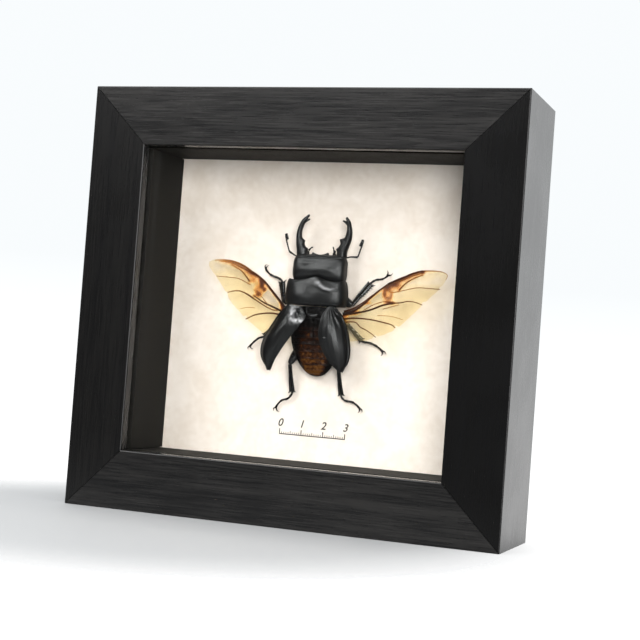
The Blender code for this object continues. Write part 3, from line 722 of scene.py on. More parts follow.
def creaseWear(x, up, out):
    # a painted highlight: the shell is painted pale along the crease, where it catches the light
    gap, along = distanceTo(shieldPlan["crease"], x - bodyX, up)
    fade = ease(0.04, 0.18, along) * ease(0.92, 0.6, along) * ease(8, 11, out)
    return 0.6 * hump(gap, -0.1, 0.48) * fade


def bodyShield():
    rows = [(row[0], bodyX, *row[1:]) for row in shieldPlan["rows"]]

    def bowFront(across, t):
        return frontMargin(across) * unit(1 - 2 * t)

    plan = shieldPlan
    return bodyForm(rows, plan["boxy"], plan["around"], plan["along"], plan["ends"], bowFront, shieldCarve)


# The legs: rows of across, up, out, half width and half thickness, and teeth by their place along
# the shin, their side and their length
legPlan = {
    "FrontLeft": {
        "thigh": [(-7, 6.4, 4.6, 1.9, 1.7), (-11.5, 4.4, 5, 1.9, 1.6), (-14.7, 2.8, 5.4, 1.1, 1.2)],
        "shin": [(-14.5, 2.6, 5.4, 0.75, 0.8), (-15.3, 5.4, 5, 0.85, 0.8), (-16.2, 8.9, 4.3, 1.15, 0.8),
                 (-16.9, 11.9, 3.6, 1.3, 0.8)],
        "foot": [(-17.4, 12.6, 3.2), (-19.7, 13.7, 2.3), (-22.8, 14.6, 1.7), (-24.9, 16, 1.4),
                 (-25.9, 17.3, 1.4)],
        "claws": [[(-25.9, 17.2, 1.4), (-26.3, 18.5, 1.5), (-25.4, 19.4, 1.2)],
                  [(-25.8, 17.2, 1.4), (-25.6, 18.3, 1), (-24.6, 19.1, 0.8)]],
        "teeth": [(0.96, -1, 0.9), (0.96, 1, 1.3), (0.8, -1, 0.6), (0.66, -1, 0.5), (0.52, -1, 0.4)],
    },
    "FrontRight": {
        "thigh": [(9.5, 6.2, 4.6, 1.9, 1.7), (14, 4.6, 5.6, 2.1, 1.7), (16.8, 3.2, 5.8, 1.1, 1.2)],
        "shin": [(16.6, 3.1, 5.8, 0.75, 0.8), (18.8, 6.5, 5.2, 0.95, 0.8), (21.2, 9.8, 4.5, 1.15, 0.85),
                 (23.6, 13.2, 3.8, 1.25, 0.8)],
        "foot": [(24.1, 13.9, 3.2), (25.6, 14.9, 2.4), (28, 15.4, 1.8), (29.6, 16.4, 1.4),
                 (30.3, 17.3, 1.4)],
        "claws": [[(30.2, 17.2, 1.4), (31.6, 17.3, 1.4), (32.3, 18.4, 1.1)],
                  [(30.1, 17.2, 1.4), (30.2, 18.4, 1.2), (29.6, 19.4, 0.9)]],
        "teeth": [(0.97, 1, 1.5), (0.9, 1, 1.5), (0.82, 1, 1.4), (0.74, 1, 1.3), (0.66, 1, 1.2),
                  (0.58, 1, 1.1), (0.49, 1, 1), (0.4, 1, 0.8), (0.97, -1, 0.5)],
    },
    "MiddleLeft": {
        "thigh": [(-3, -6, 4.2, 2.1, 1.6), (-10.5, -4.2, 4.6, 1.9, 1.5), (-15.3, -4.8, 5.2, 1.1, 1.1)],
        "shin": [(-15.2, -4.7, 5.2, 0.7, 0.75), (-18.4, -7.6, 4.6, 0.75, 0.75), (-21, -10, 4, 0.9, 0.75),
                 (-23.4, -12.1, 3.4, 1.05, 0.75)],
        "foot": [(-23.9, -12.5, 3), (-26.4, -13.2, 2.1), (-28.7, -14.8, 1.5), (-29.9, -16, 1.3),
                 (-30.8, -17, 1.3)],
        "claws": [[(-30.7, -16.9, 1.3), (-31.6, -17.6, 1.4), (-31.4, -18.6, 1.1)],
                  [(-30.7, -16.9, 1.3), (-30.2, -17.8, 1.1), (-29.3, -18.1, 0.8)]],
        "teeth": [(0.97, -1, 1), (0.97, 1, 0.9), (0.62, -1, 0.6)],
    },
    "MiddleRight": {
        "thigh": [(6, -6, 4.2, 2.1, 1.6), (11.5, -3.6, 4.8, 1.8, 1.5), (14.4, -3.8, 5.3, 1.1, 1.1)],
        "shin": [(14.3, -3.8, 5.3, 0.7, 0.75), (16.8, -6.6, 4.6, 0.75, 0.75), (19, -8.9, 3.9, 0.9, 0.75),
                 (21.2, -11.2, 3.2, 1.05, 0.75)],
        "foot": [(21.7, -11.7, 2.8), (24.4, -12, 2.1), (27.2, -13, 1.6), (28.9, -14.1, 1.3),
                 (30.2, -15.2, 1.3)],
        "claws": [[(30.1, -15.1, 1.3), (31.3, -15.3, 1.4), (32, -16.4, 1.1)],
                  [(30.1, -15.1, 1.3), (30.2, -16.4, 1.1), (29.4, -17.3, 0.8)]],
        "teeth": [(0.97, 1, 1), (0.97, -1, 0.9), (0.62, 1, 0.6)],
    },
    "HindLeft": {
        "thigh": [(-3, -13, 4.2, 2.2, 1.6), (-7.6, -19, 4.6, 1.9, 1.6), (-9.8, -23.6, 5.4, 1.1, 1.1)],
        "shin": [(-9.7, -23.4, 5.4, 0.7, 0.75), (-9.5, -27.4, 4.4, 0.8, 0.75), (-9.3, -31.4, 3.4, 1, 0.75),
                 (-8.9, -35.4, 2.4, 1.15, 0.75)],
        "foot": [(-9, -36.2, 2.2), (-10.9, -38.4, 1.6), (-13.9, -39.5, 1.3), (-15.7, -41.4, 1.2),
                 (-16.3, -42.8, 1.2)],
        "claws": [[(-16.2, -42.7, 1.2), (-17.4, -43.3, 1.4), (-17.3, -44.4, 1.1)],
                  [(-16.2, -42.7, 1.2), (-15.9, -44, 1), (-14.9, -44.6, 0.8)]],
        "teeth": [(0.97, 1, 1.2), (0.97, -1, 0.8), (0.55, -1, 0.5)],
    },
    "HindRight": {
        "thigh": [(5.5, -13, 4.2, 2.2, 1.6), (10, -18.8, 4.8, 1.9, 1.6), (12.7, -24, 5.6, 1.1, 1.1)],
        "shin": [(12.6, -23.8, 5.6, 0.7, 0.75), (12.9, -27.8, 4.5, 0.8, 0.75),
                 (13.2, -31.6, 3.5, 0.95, 0.75), (13.6, -35.2, 2.4, 1.1, 0.75)],
        "foot": [(13.8, -36, 2.2), (15.2, -37.3, 1.6), (18.4, -37.7, 1.3), (20.6, -38.9, 1.2),
                 (21.9, -40.2, 1.2)],
        "claws": [[(21.8, -40.1, 1.2), (23, -40.6, 1.4), (23.1, -41.8, 1.1)],
                  [(21.8, -40.1, 1.2), (21.8, -41.4, 1), (21, -42.2, 0.8)]],
        "teeth": [(0.97, 1, 0.9), (0.97, -1, 0.9), (0.55, 1, 0.5)],
    },
}
footPlan = {
    "radius": (0.4, 0.58), "lastRadius": (0.36, 0.56), "claw": 0.38, "toothWidth": 0.4, "joints": 5,
    "shin": 1.12, "toothSink": 0.35, "lastStart": 0.82,
}


def leg(plan):
    def thighCrest(wide, deep, t):
        return 0, -0.14 * hump(wide, 0, 0.25) * max(0, deep)

    def shinCrest(wide, deep, t):
        # a raised keel down the upper side with a groove at each side of it
        keel = 0.34 * hump(wide, -0.05, 0.16)
        grooves = 0.16 * (hump(wide, 0.42, 0.18) + hump(wide, -0.5, 0.18))
        return 0, (keel - grooves) * max(0, deep)

    shin = [(*row[:3], row[3] * footPlan["shin"], row[4]) for row in plan["shin"]]
    parts = [limb(plan["thigh"], 26, 44, (0.05, 0.14), thighCrest),
             limb(shin, 32, 60, (0.06, 0.03), shinCrest)]
    for place, side, length in plan["teeth"]:
        x, up, out, half, _ = between(plan["shin"], place)
        before, after = [Vector(between(plan["shin"], place + step)[:3]) for step in (-0.05, 0.05)]
        run = (after - before).normalized()
        aside = Vector((run.y, -run.x, 0)) * side
        foot = Vector((x, up, out)) + aside * (half - footPlan["toothSink"])
        tip = foot + aside * (footPlan["toothSink"] + length * 0.75) + run * length * 0.62
        parts.append(horn([foot, foot.lerp(tip, 0.55) - run * 0.06, tip], footPlan["toothWidth"], 8, 8))
    path = [tuple(Vector(plan["shin"][-1][:3]).lerp(Vector(plan["shin"][-2][:3]), 0.12))] + plan["foot"]
    count = footPlan["joints"]
    ends = [i / count * footPlan["lastStart"] for i in range(count)] + [1]
    for i in range(count):
        low, high = Vector(between(path, ends[i])), Vector(between(path, ends[i + 1]))
        middle = Vector(between(path, (ends[i] + ends[i + 1]) / 2))
        thin, wide = footPlan["lastRadius" if i == count - 1 else "radius"]
        mean = (thin + wide) / 2
        overlap = (high - low) * 0.06
        rows = [(*(low - overlap), thin, thin), (*middle, mean, mean), (*high, wide, wide * 0.9)]
        parts.append(limb(rows, 14, 16, (0.1, 0.16)))
    for claw in plan["claws"]:
        parts.append(horn(claw, footPlan["claw"], 10, 14))
    return joined(parts)


# The hind body
trunkPlan = {
    "around": 168, "along": 220, "ends": (0.03, 0.05),
    "rows": [(1.7, 0, 6, 4, 7, 10.6), (1.2, 0, 8.2, 3.4, 7, 11.2), (-1.2, 0, 9.7, 2.6, 6.6, 11.4),
             (-4.2, 0, 10.5, 2, 6.2, 10.8), (-8, -0.1, 11, 2, 6, 10), (-12, -0.2, 11, 2, 5.8, 9.5),
             (-16.2, 0, 10.2, 2, 5.6, 9.2), (-20, 0.4, 8.9, 2.2, 5.4, 8.8), (-23.7, 0.8, 7, 2.6, 5.2, 8.1),
             (-26.6, 1.1, 4.3, 3.4, 5, 7), (-28, 1.2, 1.6, 4.6, 5, 5.6)],
    "plates": (-8.8, -11.7, -14.6, -17.6, -20.6, -23.1, -25.2, -26.7),
    "step": 0.42, "lip": 0.02, "fade": 0.9,
}


def plateStep(up):
    # each plate of the abdomen overlaps the one behind it, with a thin lip at its back edge
    for edge in trunkPlan["plates"]:
        if up > edge - trunkPlan["lip"]:
            return math.exp((edge - up) / trunkPlan["fade"])
    return 0


def trunkCarve(across, up, rise):
    lift = trunkPlan["step"] * plateStep(up) * ease(-7.5, -9, up) * (0.35 + 0.65 * rise)
    lift += 0.35 * hump(abs(across), 0.9, 0.5) * ease(-3.5, -5.5, up) * ease(-12.5, -9.5, up)
    lift -= 0.45 * hump(across, 0, 0.6) * ease(-3, -5, up) * ease(-12, -9, up)
    lift -= 0.28 * hump(abs(across), 6.4, 1.1) * ease(-7, -10, up)
    lift += 0.4 * hump(abs(across), 4, 1.4) * hump(up, -5.6, 2.2)
    lift -= 0.35 * hump(up, -3, 0.5)
    lift += 0.16 * ripple(across, up, 0.8, 1)
    return 0, lift


def trunk():
    rows = [(up, bodyX + shift, *sizes) for up, shift, *sizes in trunkPlan["rows"]]
    return bodyForm(rows, (1, 1), trunkPlan["around"], trunkPlan["along"], trunkPlan["ends"],
                    None, trunkCarve)


def amberAt(x, up, out):
    # how amber the back is: dark at the front and along the edges, warm over the last plates
    row = 0.5 + 0.4 * ease(-9, -24, up)
    up += 0.7 * noise.noise(Vector((x * 0.45, up * 0.2, 12)))
    reach = abs(x - bodyX - 0.5)
    width = 10.6 * math.sqrt(max(0.02, 1 - ((up + 10.5) / 18.2) ** 2)) if up < -10.5 else 10.6
    amber = row * ease(0.98, 0.55, reach / width) * ease(4.5, 7, out)
    amber -= 0.75 * ease(-9, -2, up)
    amber -= 0.34 * plateStep(up) * ease(-8, -9, up)
    amber += 0.34 * hump(up, -11, 1.2) * hump(reach, 2.2, 1.2) + 0.35 * hump(up, -26, 1.2)
    amber -= 0.1 * hump(reach, 0, 0.5)
    return unit(amber + 0.3 * ripple(x, up, 0.9, 13))


scutellumPlan = {"middle": bodyX - 0.4, "front": 1.6, "length": 5, "half": 3, "out": 11.2, "wall": 0.6}


def scutellum():
    # the small plate between the roots of the wing cases, its hind part raised
    plan = scutellumPlan

    def shape(s, t):
        wide = plan["half"] * (1 - t ** 3) ** 0.5
        x = plan["middle"] + (2 * s - 1) * wide
        rise = math.sin(math.pi * s) * (0.8 * hump(t, 0.8, 0.2) - 0.3 * hump(t, 0.35, 0.3))
        return at(x, plan["front"] - plan["length"] * t, plan["out"] + rise)
    return sheet(32, 40, shape)


# The wing cases: rows of across, up and out along the inner and the outer edge
casePlan = {
    "left": {
        "inner": [(-3.6, 1.4, 12.6), (-1.2, -2.6, 13.2), (-3, -6, 13.2), (-6.6, -10.6, 13),
                  (-10.2, -15.6, 12.6), (-13.6, -20.8, 11.8), (-17.1, -26.8, 10.4)],
        "outer": [(-10.2, 2, 12), (-14.1, -1.8, 11), (-17.8, -7.3, 10.4), (-20.8, -12.6, 10.2),
                  (-22, -17.8, 10.2), (-21.1, -22.2, 10.2), (-17.7, -26.6, 10.3)],
        "bulge": 2.9, "crown": 1.2, "flat": 0.85, "peak": 1.1,
        "dents": [(-7.3, -3.6, 1.3, 2.2, 0.75), (-4, -5.6, 1.6, 1.4, 0.7), (-5.4, -1.9, 1.2, 1.5, -0.8)],
        "crumple": [(-5.6, -3, 3.2, 3.4, 1)],
        # pale grey patches on the crumpled root: partly worn skin, partly painted highlight
        "worn": [(-7.4, -2.4, 1.2, 2.6, 1), (-3.8, -4.8, 1.9, 0.9, 1), (-5.8, -5.2, 1.2, 0.9, 0.7),
                 (-5, -2.4, 1, 1.3, -0.8)],
    },
    "right": {
        "inner": [(8.4, 2.2, 12.6), (6.4, -1.6, 13.8), (5.6, -6, 14.4), (5.6, -10.8, 14.4),
                  (7.2, -16, 13.6), (10.4, -21.4, 12.2), (14.8, -25.5, 10.6)],
        "outer": [(10.6, 2.4, 12.2), (14.2, -1, 11), (16.6, -5.6, 10.4), (18.2, -10.8, 10.2),
                  (19, -16.4, 10.2), (18.4, -21.2, 10.2), (15.9, -25.3, 10.4)],
        "bulge": 2.8, "crown": 1.1, "flat": 0.75, "peak": 0.9, "root": (9.4, 2.4),
        "dents": [(8.6, -11.6, 0.7, 0.3, 0.26)], "worn": [],
    },
    "wall": 0.5, "across": 90, "along": 170,
}


def caseRelief(side, x, up, s, t):
    # rims along both edges, faint long ribs, each case's own dents, the left one's crumpled root
    # and the folds that fan out from the right one's root
    lift = 0.14 * hump(s, 0.97, 0.02) - 0.12 * hump(s, 0.915, 0.03)
    lift += 0.08 * hump(s, 0.02, 0.02) - 0.06 * hump(s, 0.07, 0.03)
    lift += 0.02 * math.sin(s * math.pi * 13) * math.sin(math.pi * t)
    lift += 0.08 * ripple(x, up, 0.22, 5)
    plan = casePlan[side]
    lift += pressed(x, up, plan["dents"])
    if side == "left":
        near = pressed(x, up, plan["crumple"])
        lift += near * (0.35 * ripple(x, up, 0.9, 2) + 0.14 * ripple(x, up, 2.2, 4))
    else:
        rootX, rootUp = plan["root"]
        gap = math.hypot(x - rootX, up - rootUp)
        turn = math.atan2(x - rootX, rootUp - up)
        fade = ease(0.8, 2.5, gap) * ease(15, 6, gap)
        lift += 0.12 * fade * math.sin(turn * 24) * ease(-0.5, 0.1, turn)
    return lift


def paleOn(side):
    # where the left case's crumpled root is painted pale grey: partly a worn grey skin, partly a painted
    # highlight on the crumples; the right case has none
    def pale(x, up, out):
        return unit(pressed(x, up, casePlan[side]["worn"]) * (0.75 + 0.9 * ripple(x, up, 0.8, 6)))
    return pale


def wingCase(side):
    plan = casePlan[side]

    def shape(s, t):
        spot = Vector(between(plan["inner"], t)).lerp(Vector(between(plan["outer"], t)), s)
        arch = max(math.sin(math.pi * s ** plan["crown"]), 0) ** plan["flat"]
        arch *= math.sin(math.pi * (0.02 + 0.93 * t ** plan["peak"]))
        spot.z += plan["bulge"] * arch + caseRelief(side, spot.x, spot.y, s, t)
        return at(*spot)

    return sheet(casePlan["across"], casePlan["along"], shape)


# The hind wings: the leading and the trailing edge from root to tip, the veins between them with the
# radius and the darkness at each end, brown blots, and where along the edge the brown flush runs
wingPlan = {
    "left": {
        "lead": [(-12, 0), (-14, 2.2), (-17.2, 5.4), (-20.5, 8.5), (-24.4, 12.3), (-27.8, 14.6),
                 (-31.3, 16.5), (-35.1, 18.6), (-38.9, 19.8), (-43.5, 20.2), (-48.1, 19.8), (-50.7, 18.7)],
        "trail": [(-13.2, -7), (-16.4, -11), (-20.4, -12), (-24, -10), (-27.8, -7.4), (-31.3, -5.2),
                  (-34.6, -2.2), (-37.9, 0.9), (-40.8, 4.6), (-43.8, 9), (-47.2, 13), (-50.4, 16.8)],
        "veins": [([(-12.4, 0.2), (-15.1, 3), (-19.8, 7.8), (-24.4, 12.2), (-29.6, 15.4)], 0.42, 0.3, 1,
                   0.7), ([(-29.6, 15.4), (-35.1, 18.4), (-41, 19.8), (-48, 19.6)], 0.3, 0.1, 0.55, 0.15),
                  ([(-26.9, 13.9), (-31, 15.4), (-35, 17), (-40, 18.8), (-45.6, 19.3)], 0.26, 0.1, 0.75,
                   0.15), ([(-30.3, 11), (-32.6, 13.6), (-34.9, 15.6), (-40, 18.1)], 0.24, 0.12, 0.75, 0.3),
                  ([(-29.6, 9.6), (-31.1, 10.2), (-35.2, 11.9), (-38.9, 12.3), (-46.5, 12.6)], 0.16, 0.1,
                   0.35, 0.25),
                  ([(-14.6, -0.9), (-18.8, 0.7), (-22.9, 2.3), (-26.7, 4.4), (-27.8, 5)], 0.34, 0.14, 1,
                   0.6),
                  ([(-27.6, 3.6), (-31, 5.4), (-34.4, 6.6), (-37.4, 6.5), (-40.7, 5.7)], 0.28, 0.12, 0.7,
                   0.3), ([(-16.2, -0.8), (-18.8, -0.6), (-23, 1.2), (-27.6, 3.6)], 0.16, 0.2, 0.4, 0.6),
                  ([(-15.6, -2.5), (-18.4, -2.2), (-22, -2.4), (-27, -3.5), (-29.6, -4.8), (-31, -5.5)],
                   0.26, 0.16, 0.7, 0.55),
                  ([(-26.6, -0.4), (-30.5, -0.3), (-34.1, -1.2)], 0.1, 0.08, 0.2, 0.1),
                  ([(-21, 1.6), (-24.2, 4.8), (-27.9, 7.6)], 0.13, 0.1, 0.45, 0.35)],
        "blots": [(-24.6, 11.6, 1.3, 1.2, 0.95), (-24.3, 9.6, 1, 1.5, 0.85), (-23, 7.8, 1, 1.1, 0.85),
                  (-26.2, 8.4, 1.9, 2.4, 0.48), (-25.2, 5.8, 1.6, 1.4, 0.6), (-28.8, 11.8, 2, 1.8, 0.36),
                  (-29.5, 14.6, 2.4, 0.9, 0.3), (-25.6, 5.6, 0.8, 0.5, 0.25), (-13.6, 1, 1.2, 2.2, 0.8),
                  (-27.4, 5, 1.6, 0.6, 0.3)],
        "flush": (0.36, 0.98),
        "pale": [(-18.5, 3.8, 4.2, 3, 0.75), (-46, 17, 5, 3, 0.75), (-21, 5.5, 3, 3, 0.75)],
        "notches": (0.45, 0.73, 0.9),
    },
    "right": {
        "lead": [(13.6, -0.9), (17.6, 0.8), (21, 2.9), (24.8, 6.5), (28.6, 10), (32.4, 13.1), (36.3, 15),
                 (40.2, 16.8), (43.6, 18.5), (47.6, 19.5), (52, 19.7), (55.8, 19.3), (57.9, 18)],
        "trail": [(15, -12.6), (19.4, -12), (24.4, -11.4), (28.8, -9.9), (33.2, -8.1), (37.6, -5.8),
                  (41.3, -2.3), (44.7, 1.2), (48.4, 5.2), (51.9, 8.8), (54.8, 11.8), (57.1, 15.2),
                  (57.9, 17.4)],
        "veins": [([(13.6, -0.7), (17.4, 0.6), (21, 2.7), (24.8, 6.3), (28.6, 9.8), (32.4, 12.9)], 0.46,
                   0.22, 1, 0.75),
                  ([(32.4, 12.9), (36.3, 14.9), (40.2, 16.7), (44, 18.4), (47.4, 19.4)], 0.34, 0.26, 0.9,
                   0.75),
                  ([(47.4, 19.4), (51.9, 19.6), (55.6, 19.3), (57.8, 18.1), (57.4, 16)], 0.17, 0.08, 0.35,
                   0.1), ([(35.1, 13.4), (40.3, 15.7), (44, 17.4), (47.4, 18.4)], 0.2, 0.14, 0.6, 0.4),
                  ([(37.6, 10.6), (40.4, 13.8), (44.9, 16.6), (47.8, 17.7)], 0.24, 0.12, 0.65, 0.35),
                  ([(33.4, 10.2), (35.4, 9.7), (40.3, 10.9), (45.2, 12.1), (50.2, 12.2), (55.5, 12)], 0.14,
                   0.12, 0.3, 0.4),
                  ([(13.7, -1), (19.2, 0), (25.8, 1.8), (31.1, 4), (35.6, 5.2)], 0.28, 0.28, 1, 0.8),
                  ([(14, 0.4), (18.6, 2.2), (22.6, 5), (26.4, 8.4)], 0.3, 0.1, 0.9, 0.5),
                  ([(35.6, 5.2), (39, 5.6), (41.7, 6.3), (45, 6.1), (48.1, 5.1)], 0.2, 0.12, 0.75, 0.45),
                  ([(31.2, 2.4), (35.8, 3.9), (38.4, 4.7)], 0.12, 0.1, 0.35, 0.3),
                  ([(23, 1.6), (27, 4), (31, 5.5), (34, 6)], 0.12, 0.12, 0.4, 0.4),
                  ([(14.2, -2.8), (19.3, -2.1), (26.2, -2.3), (31.6, -3.1), (35.4, -3.9), (37.2, -5.2)],
                   0.26, 0.14, 0.8, 0.45),
                  ([(14.7, -4), (19.5, -3.8), (22, -5.8), (25.5, -7.3), (29.1, -9.7)], 0.2, 0.12, 0.65,
                   0.5), ([(29, -0.4), (35, -0.4), (40.4, -1.6)], 0.1, 0.08, 0.2, 0.1)],
        "blots": [(32.8, 11.4, 1.4, 1.3, 0.6), (31.4, 9, 0.9, 1.8, 0.6), (34.6, 8.4, 0.8, 1.6, 0.4),
                  (33, 7, 1.6, 0.8, 0.35), (34.6, 12.9, 2.6, 0.7, 0.3), (34.2, 5.3, 2, 0.6, 0.6),
                  (47.2, 19, 0.7, 0.7, 1), (17, 0.1, 3.6, 0.9, 0.75), (36.6, 12.2, 2.4, 1.8, 0.36),
                  (33, 7.6, 2.8, 3.4, 0.34), (23.6, 4.6, 3.2, 0.7, 0.45)],
        "flush": (0.34, 0.86),
        "pale": [(25, 3.4, 4.5, 1.8, 0.75), (45, 14.6, 7, 1.6, 0.75), (54, 16, 3, 2.5, 0.75),
                 (17, -7, 4, 3.5, 0.75)],
        "notches": (0.25, 0.42, 0.67, 0.85),
    },
    "root": 8.8, "droop": 0.03, "skin": 0.12, "across": 70, "along": 150, "veinSize": 1.2,
}


def wingOut(side, x, up):
    # how far a point of the wing stands out from the paper: a slight camber with soft pleats
    plan = wingPlan[side]
    out = wingPlan["root"] - wingPlan["droop"] * abs(x - bodyX)
    gap, along = distanceTo(plan["lead"], x, up)
    gap = abs(gap)
    out += 0.5 * math.sin(min(gap, 14) / 14 * math.pi) * ease(0, 0.3, along)
    out += 0.16 * math.sin(gap * 1.25) * ease(1.5, 4, gap)
    return out + 0.22 * ripple(x, up, 0.16, 9)


def hindWing(side):
    plan = wingPlan[side]

    def shape(s, t):
        notch = sum(0.07 * max(0, 1 - abs(t - place) / 0.025) for place in plan["notches"])
        reach = s * (1 - notch * s ** 4 - 0.012 * s ** 4 * (1 + noise.noise(Vector((t * 30, 1, 1)))))
        x, up = Vector(between(plan["lead"], t)).lerp(Vector(between(plan["trail"], t)), reach)
        return at(x, up, wingOut(side, x, up))

    def stainAt(x, up, out):
        gap, along = distanceTo(plan["lead"], x, up)
        gap = abs(gap)
        low, high = plan["flush"]
        stain = 0.34 * hump(gap, 0, 1.2) * ease(1, 0.7, along)
        stain += 0.34 * hump(gap, 0.6, 2.8) * ease(low, low + 0.12, along) * ease(high, high - 0.25, along)
        stain += 0.45 * hump(x, plan["lead"][0][0], 2.6) * ease(7, 1.5, gap)
        stain += pressed(x, up, plan["blots"])
        for path, _, _, startDark, endDark in plan["veins"]:
            beside, along = distanceTo(path, x, up)
            stain += 0.3 * (startDark + (endDark - startDark) * along) * hump(beside, 0, 0.7)
        return unit(stain + 0.1 * ripple(x, up, 0.5, 11))

    def warmAt(x, up, out):
        return unit(1 - pressed(x, up, plan["pale"]))

    bm = sheet(wingPlan["across"], wingPlan["along"], shape)
    return marked(marked(bm, "stain", stainAt), "warm", warmAt)


def wingVeins(side):
    parts = []
    for path, startRadius, endRadius, startDark, endDark in wingPlan[side]["veins"]:
        rows = []
        steps = 4 * (len(path) - 1)
        for i in range(steps + 1):
            x, up = between(path, i / steps)
            radius = wingPlan["veinSize"] * (startRadius + (endRadius - startRadius) * i / steps)
            rows.append((x, up, wingOut(side, x, up) - 0.06, radius * 1.2, radius * 0.85))
        vein = limb(rows, 10, 3 * steps, (0.01, 0.02))
        parts.append(marked(vein, "dark", lambda x, up, out, p=path, a=startDark, b=endDark:
                            a + (b - a) * distanceTo(p, x, up)[1]))
    return joined(parts)


# The printed scale under the specimen
scalePlan = {
    "left": -14.3, "length": 30, "barUp": -54.2, "figureUp": -50.6, "figureHeight": 3.4, "line": 0.42,
    "weight": 0.06,
    "ticks": {10: 2.1, 5: 1.4, 1: 0.8},
    "lift": 0.05, "slant": 0.25, "sink": 0.02, "figureSize": 1.38,
}


def inkStroke(low, high):
    # a thin flat stroke on the paper between two corners of across and up
    a, b = at(*low, scalePlan["sink"]), at(*high, scalePlan["lift"])
    bm = bmesh.new()
    bmesh.ops.create_cube(bm, size=1.0)
    size = [abs(length) for length in b - a]
    place = Matrix.Translation((a + b) / 2) @ Matrix.Diagonal((*size, 1))
    bmesh.ops.transform(bm, matrix=place, verts=bm.verts)
    return bm


def figure(value, x):
    curve = bpy.data.curves.new("figure", "FONT")
    curve.body = str(value)
    curve.size = scalePlan["figureHeight"] * scalePlan["figureSize"] * mm
    curve.align_x = "CENTER"
    curve.shear = scalePlan["slant"]
    curve.offset = scalePlan["weight"] * mm
    curve.extrude = (scalePlan["lift"] - scalePlan["sink"]) / 2 * mm
    text = placed("figure", curve)
    bpy.context.view_layer.update()
    mesh = bpy.data.meshes.new_from_object(text.evaluated_get(bpy.context.evaluated_depsgraph_get()))
    bpy.data.objects.remove(text)
    bpy.data.curves.remove(curve)
    bm = bmesh.new()
    bm.from_mesh(mesh)
    bpy.data.meshes.remove(mesh)
    bmesh.ops.remove_doubles(bm, verts=bm.verts, dist=weldReach)
    place = Matrix.Translation(at(x, scalePlan["figureUp"], (scalePlan["sink"] + scalePlan["lift"]) / 2))
    bmesh.ops.transform(bm, matrix=place @ Matrix.Rotation(math.radians(90), 4, "X"), verts=bm.verts)
    return bm


def printedScale():
    plan = scalePlan
    left, bar, line = plan["left"], plan["barUp"], plan["line"]
    parts = [inkStroke((left - line / 2, bar), (left + plan["length"] + line / 2, bar + line))]
    for i in range(int(plan["length"]) + 1):
        step = next(step for step in (10, 5, 1) if i % step == 0)
        half = line / 2 if step == 10 else line / 3
        top = bar + line + plan["ticks"][step]
        parts.append(inkStroke((left + i - half, bar + line), (left + i + half, top)))
        if step == 10:
            parts.append(figure(i // 10, left + i))
    return joined(parts)


def buildBeetle():
    shell = chitinFinish("headShell", rough=0.45, pits=3, wrinkle=0.03, coat=0, shine=0.48)
    shieldShell = chitinFinish("shieldShell", rough=0.42, pits=2.2, wrinkle=0.03, coat=0, shine=0.36)
    caseShells = {"left": chitinFinish("caseShellLeft", rough=0.31, pits=2.6, wrinkle=0.03, shine=0.38),
                  "right": chitinFinish("caseShellRight", rough=0.42, pits=2.6, shine=0.3)}
    jawShell = chitinFinish("jawShell", rough=0.42, pits=2)
    legShell = chitinFinish("legShell", rough=0.28, pits=3.4)
    lipShell = chitinFinish("lipShell", deep=(0.004, 0.0025, 0.002), dusty=(0.012, 0.006, 0.004), rough=0.3)
    eyeShell = chitinFinish("eyeShell", rough=0.14, pits=9, wrinkle=0, coat=0.6)

    piece("headShield", headShield(), shell, "head")
    for side in ("left", "right"):
        label = side.title()
        piece("jaw" + label, jaw(side), jawShell, "head")
        piece("feeler" + label, feeler(side), legShell, "head")
    piece("palps", joined([palp(points, mouthPlan["palpRadius"]) for points in mouthPlan["palps"]]),
          legShell, "head")
    piece("upperLip", lip(), lipShell, "head")
    piece("eyes", joined([eye(-1), eye(1)]), eyeShell, "head")
    print("head made")

    # the pale mark on the shield is a painted highlight along its crease
    piece("bodyShield", marked(bodyShield(), "pale", creaseWear), shieldShell, "prothorax")
    for name, plan in legPlan.items():
        piece("leg" + name, leg(plan), legShell, "prothorax" if name.startswith("Front") else "hind_body")
    print("legs and shield made")

    piece("trunk", marked(trunk(), "amber", amberAt), bodyFinish(), "hind_body")
    thickened(piece("scutellum", scutellum(), shieldShell, "hind_body"), scutellumPlan["wall"])
    for side in ("left", "right"):
        # the pale mark on the left case is partly worn grey skin and partly painted highlight
        case = marked(wingCase(side), "pale", paleOn(side))
        made = piece("wingCase" + side.title(), case, caseShells[side], "elytron_" + side)
        thickened(made, casePlan["wall"])
    membrane, vein = membraneFinish(), veinFinish()
    for side in ("left", "right"):
        node = "hindwing_" + side
        thickened(piece("hindWing" + side.title(), hindWing(side), membrane, node), wingPlan["skin"])
        piece("wingVeins" + side.title(), wingVeins(side), vein, node)
    print("wings made")

    ink = plainFinish("printInk", (0.01, 0.01, 0.011), (0.022, 0.021, 0.02), 0.7)
    piece("printedScale", printedScale(), ink)
    dress("glue_pad", plainFinish("setGlue", (0.6, 0.56, 0.45), (0.74, 0.71, 0.62), 0.35))


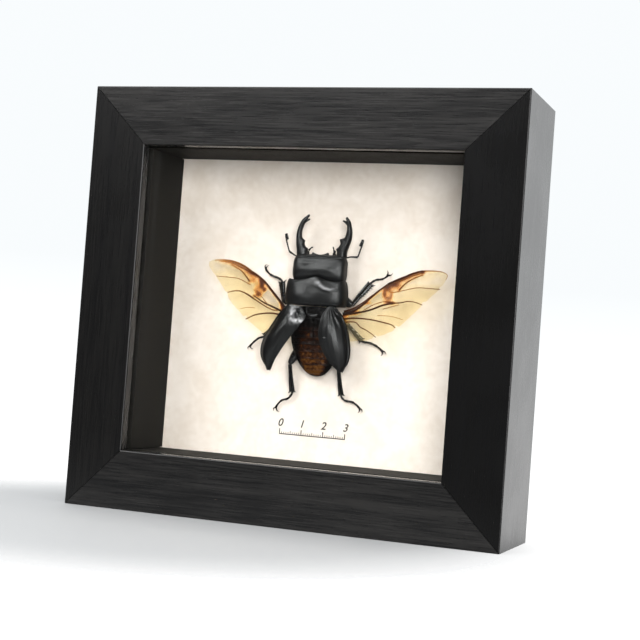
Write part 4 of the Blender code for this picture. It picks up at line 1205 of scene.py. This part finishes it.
# The studio
studio = {
    "lens": 81.0926, "sensor": 36, "eye": (0.21581456, -0.57088997, 0.0688268),
    "right": (0.93663076, 0.34241172, 0.07400698), "up": (-0.0597539, -0.05200487, 0.99685754),
    "behind": (0.34518443, -0.93810964, -0.02824893),
    "lights": {
        "key": {"place": (-0.72, -1.22, 1.08), "size": 1, "power": 26.5},
        "fill": {"place": (0.64, -1.42, 0.29), "size": 0.7, "power": 25.5},
        "rim": {"place": (0.85, 1.5, 0.25), "size": 0.9, "power": 3},
        "top": {"place": (0, -0.25, 1.7), "size": 1.4, "power": 30},
    },
    "front": (0.135, 0.136, 0.138), "back": (0.945, 0.975, 0.99), "turn": (-0.45, 0.15),
    "low": (1.22, 1.22, 1.22), "drop": (0.06, -0.08), "floorRadius": 3, "floorMiddle": (-0.045, -0.045),
    "floorFade": (0.09, 0.19), "floorColour": (0.325, 0.33, 0.334),
}


def areaLight(name, plan):
    data = bpy.data.lights.new(name, "AREA")
    data.shape = "SQUARE"
    data.size = plan["size"]
    data.energy = plan["power"]
    light = placed(name, data)
    light.location = plan["place"]
    aim = Vector((0, 0, middleZ)) - Vector(plan["place"])
    light.rotation_euler = aim.to_track_quat("-Z", "Y").to_euler()


def floorFinish():
    # pale matt floor that fades into the white surround all round the case
    finish = Finish("paleFloor")
    ends = {0: finish.node("TexCoord", output=3), 1: (*studio["floorMiddle"], 0)}
    reach = finish.node("VectorMath", {"operation": "DISTANCE"}, ends, 1)
    clear = finish.node("BsdfTransparent", inputs={"Color": (1, 1, 1, 1)})
    paint = finish.principled(Base_Color=studio["floorColour"], Roughness=0.7)
    share = finish.spread(reach, *studio["floorFade"])
    return finish.done(finish.node("MixShader", inputs={0: share, 1: paint, 2: clear}))


def surround():
    # it lights the object dimly from in front and brightly from behind, and is seen as white all round
    world = bpy.data.worlds.new("studio")
    bpy.context.scene.world = world
    sky = Finish("surround", world)
    spot = sky.node("TexCoord")

    def turned(axis, limits):
        # how far a direction has turned, read on the axis numbered, between two limits
        value = sky.node("SeparateXYZ", inputs={0: spot}, output=axis)
        return sky.node("MapRange", inputs={0: value, 1: limits[0], 2: limits[1]})

    bright = sky.mix(turned(2, studio["drop"]), studio["back"], studio["low"])
    behind = turned(1, studio["turn"])
    seen = behind.worked("MAXIMUM", behind, sky.node("LightPath"))
    light = sky.node("Background", inputs={"Color": sky.mix(seen, studio["front"], bright)})
    sky.node("OutputWorld", inputs={"Surface": light})


def buildStudio():
    scene = bpy.context.scene
    disc = bmesh.new()
    bmesh.ops.create_circle(disc, cap_ends=True, segments=96, radius=studio["floorRadius"])
    mesh = meshed("floor", disc)
    mesh.materials.append(floorFinish())
    floor = placed("floor", mesh)
    surround()
    for name, plan in studio["lights"].items():
        areaLight(name, plan)

    data = bpy.data.cameras.new("camera")
    data.lens, data.sensor_width = studio["lens"], studio["sensor"]
    data.clip_start, data.clip_end = 0.01, 50
    camera = placed("camera", data)
    turn = Matrix((studio["right"], studio["up"], studio["behind"])).transposed().to_4x4()
    camera.matrix_world = Matrix.Translation(studio["eye"]) @ turn
    scene.camera = camera
    scene.view_settings.view_transform = "Standard"
    print("studio made")


buildStudio()
dressCase()
print("case dressed")
buildBeetle()
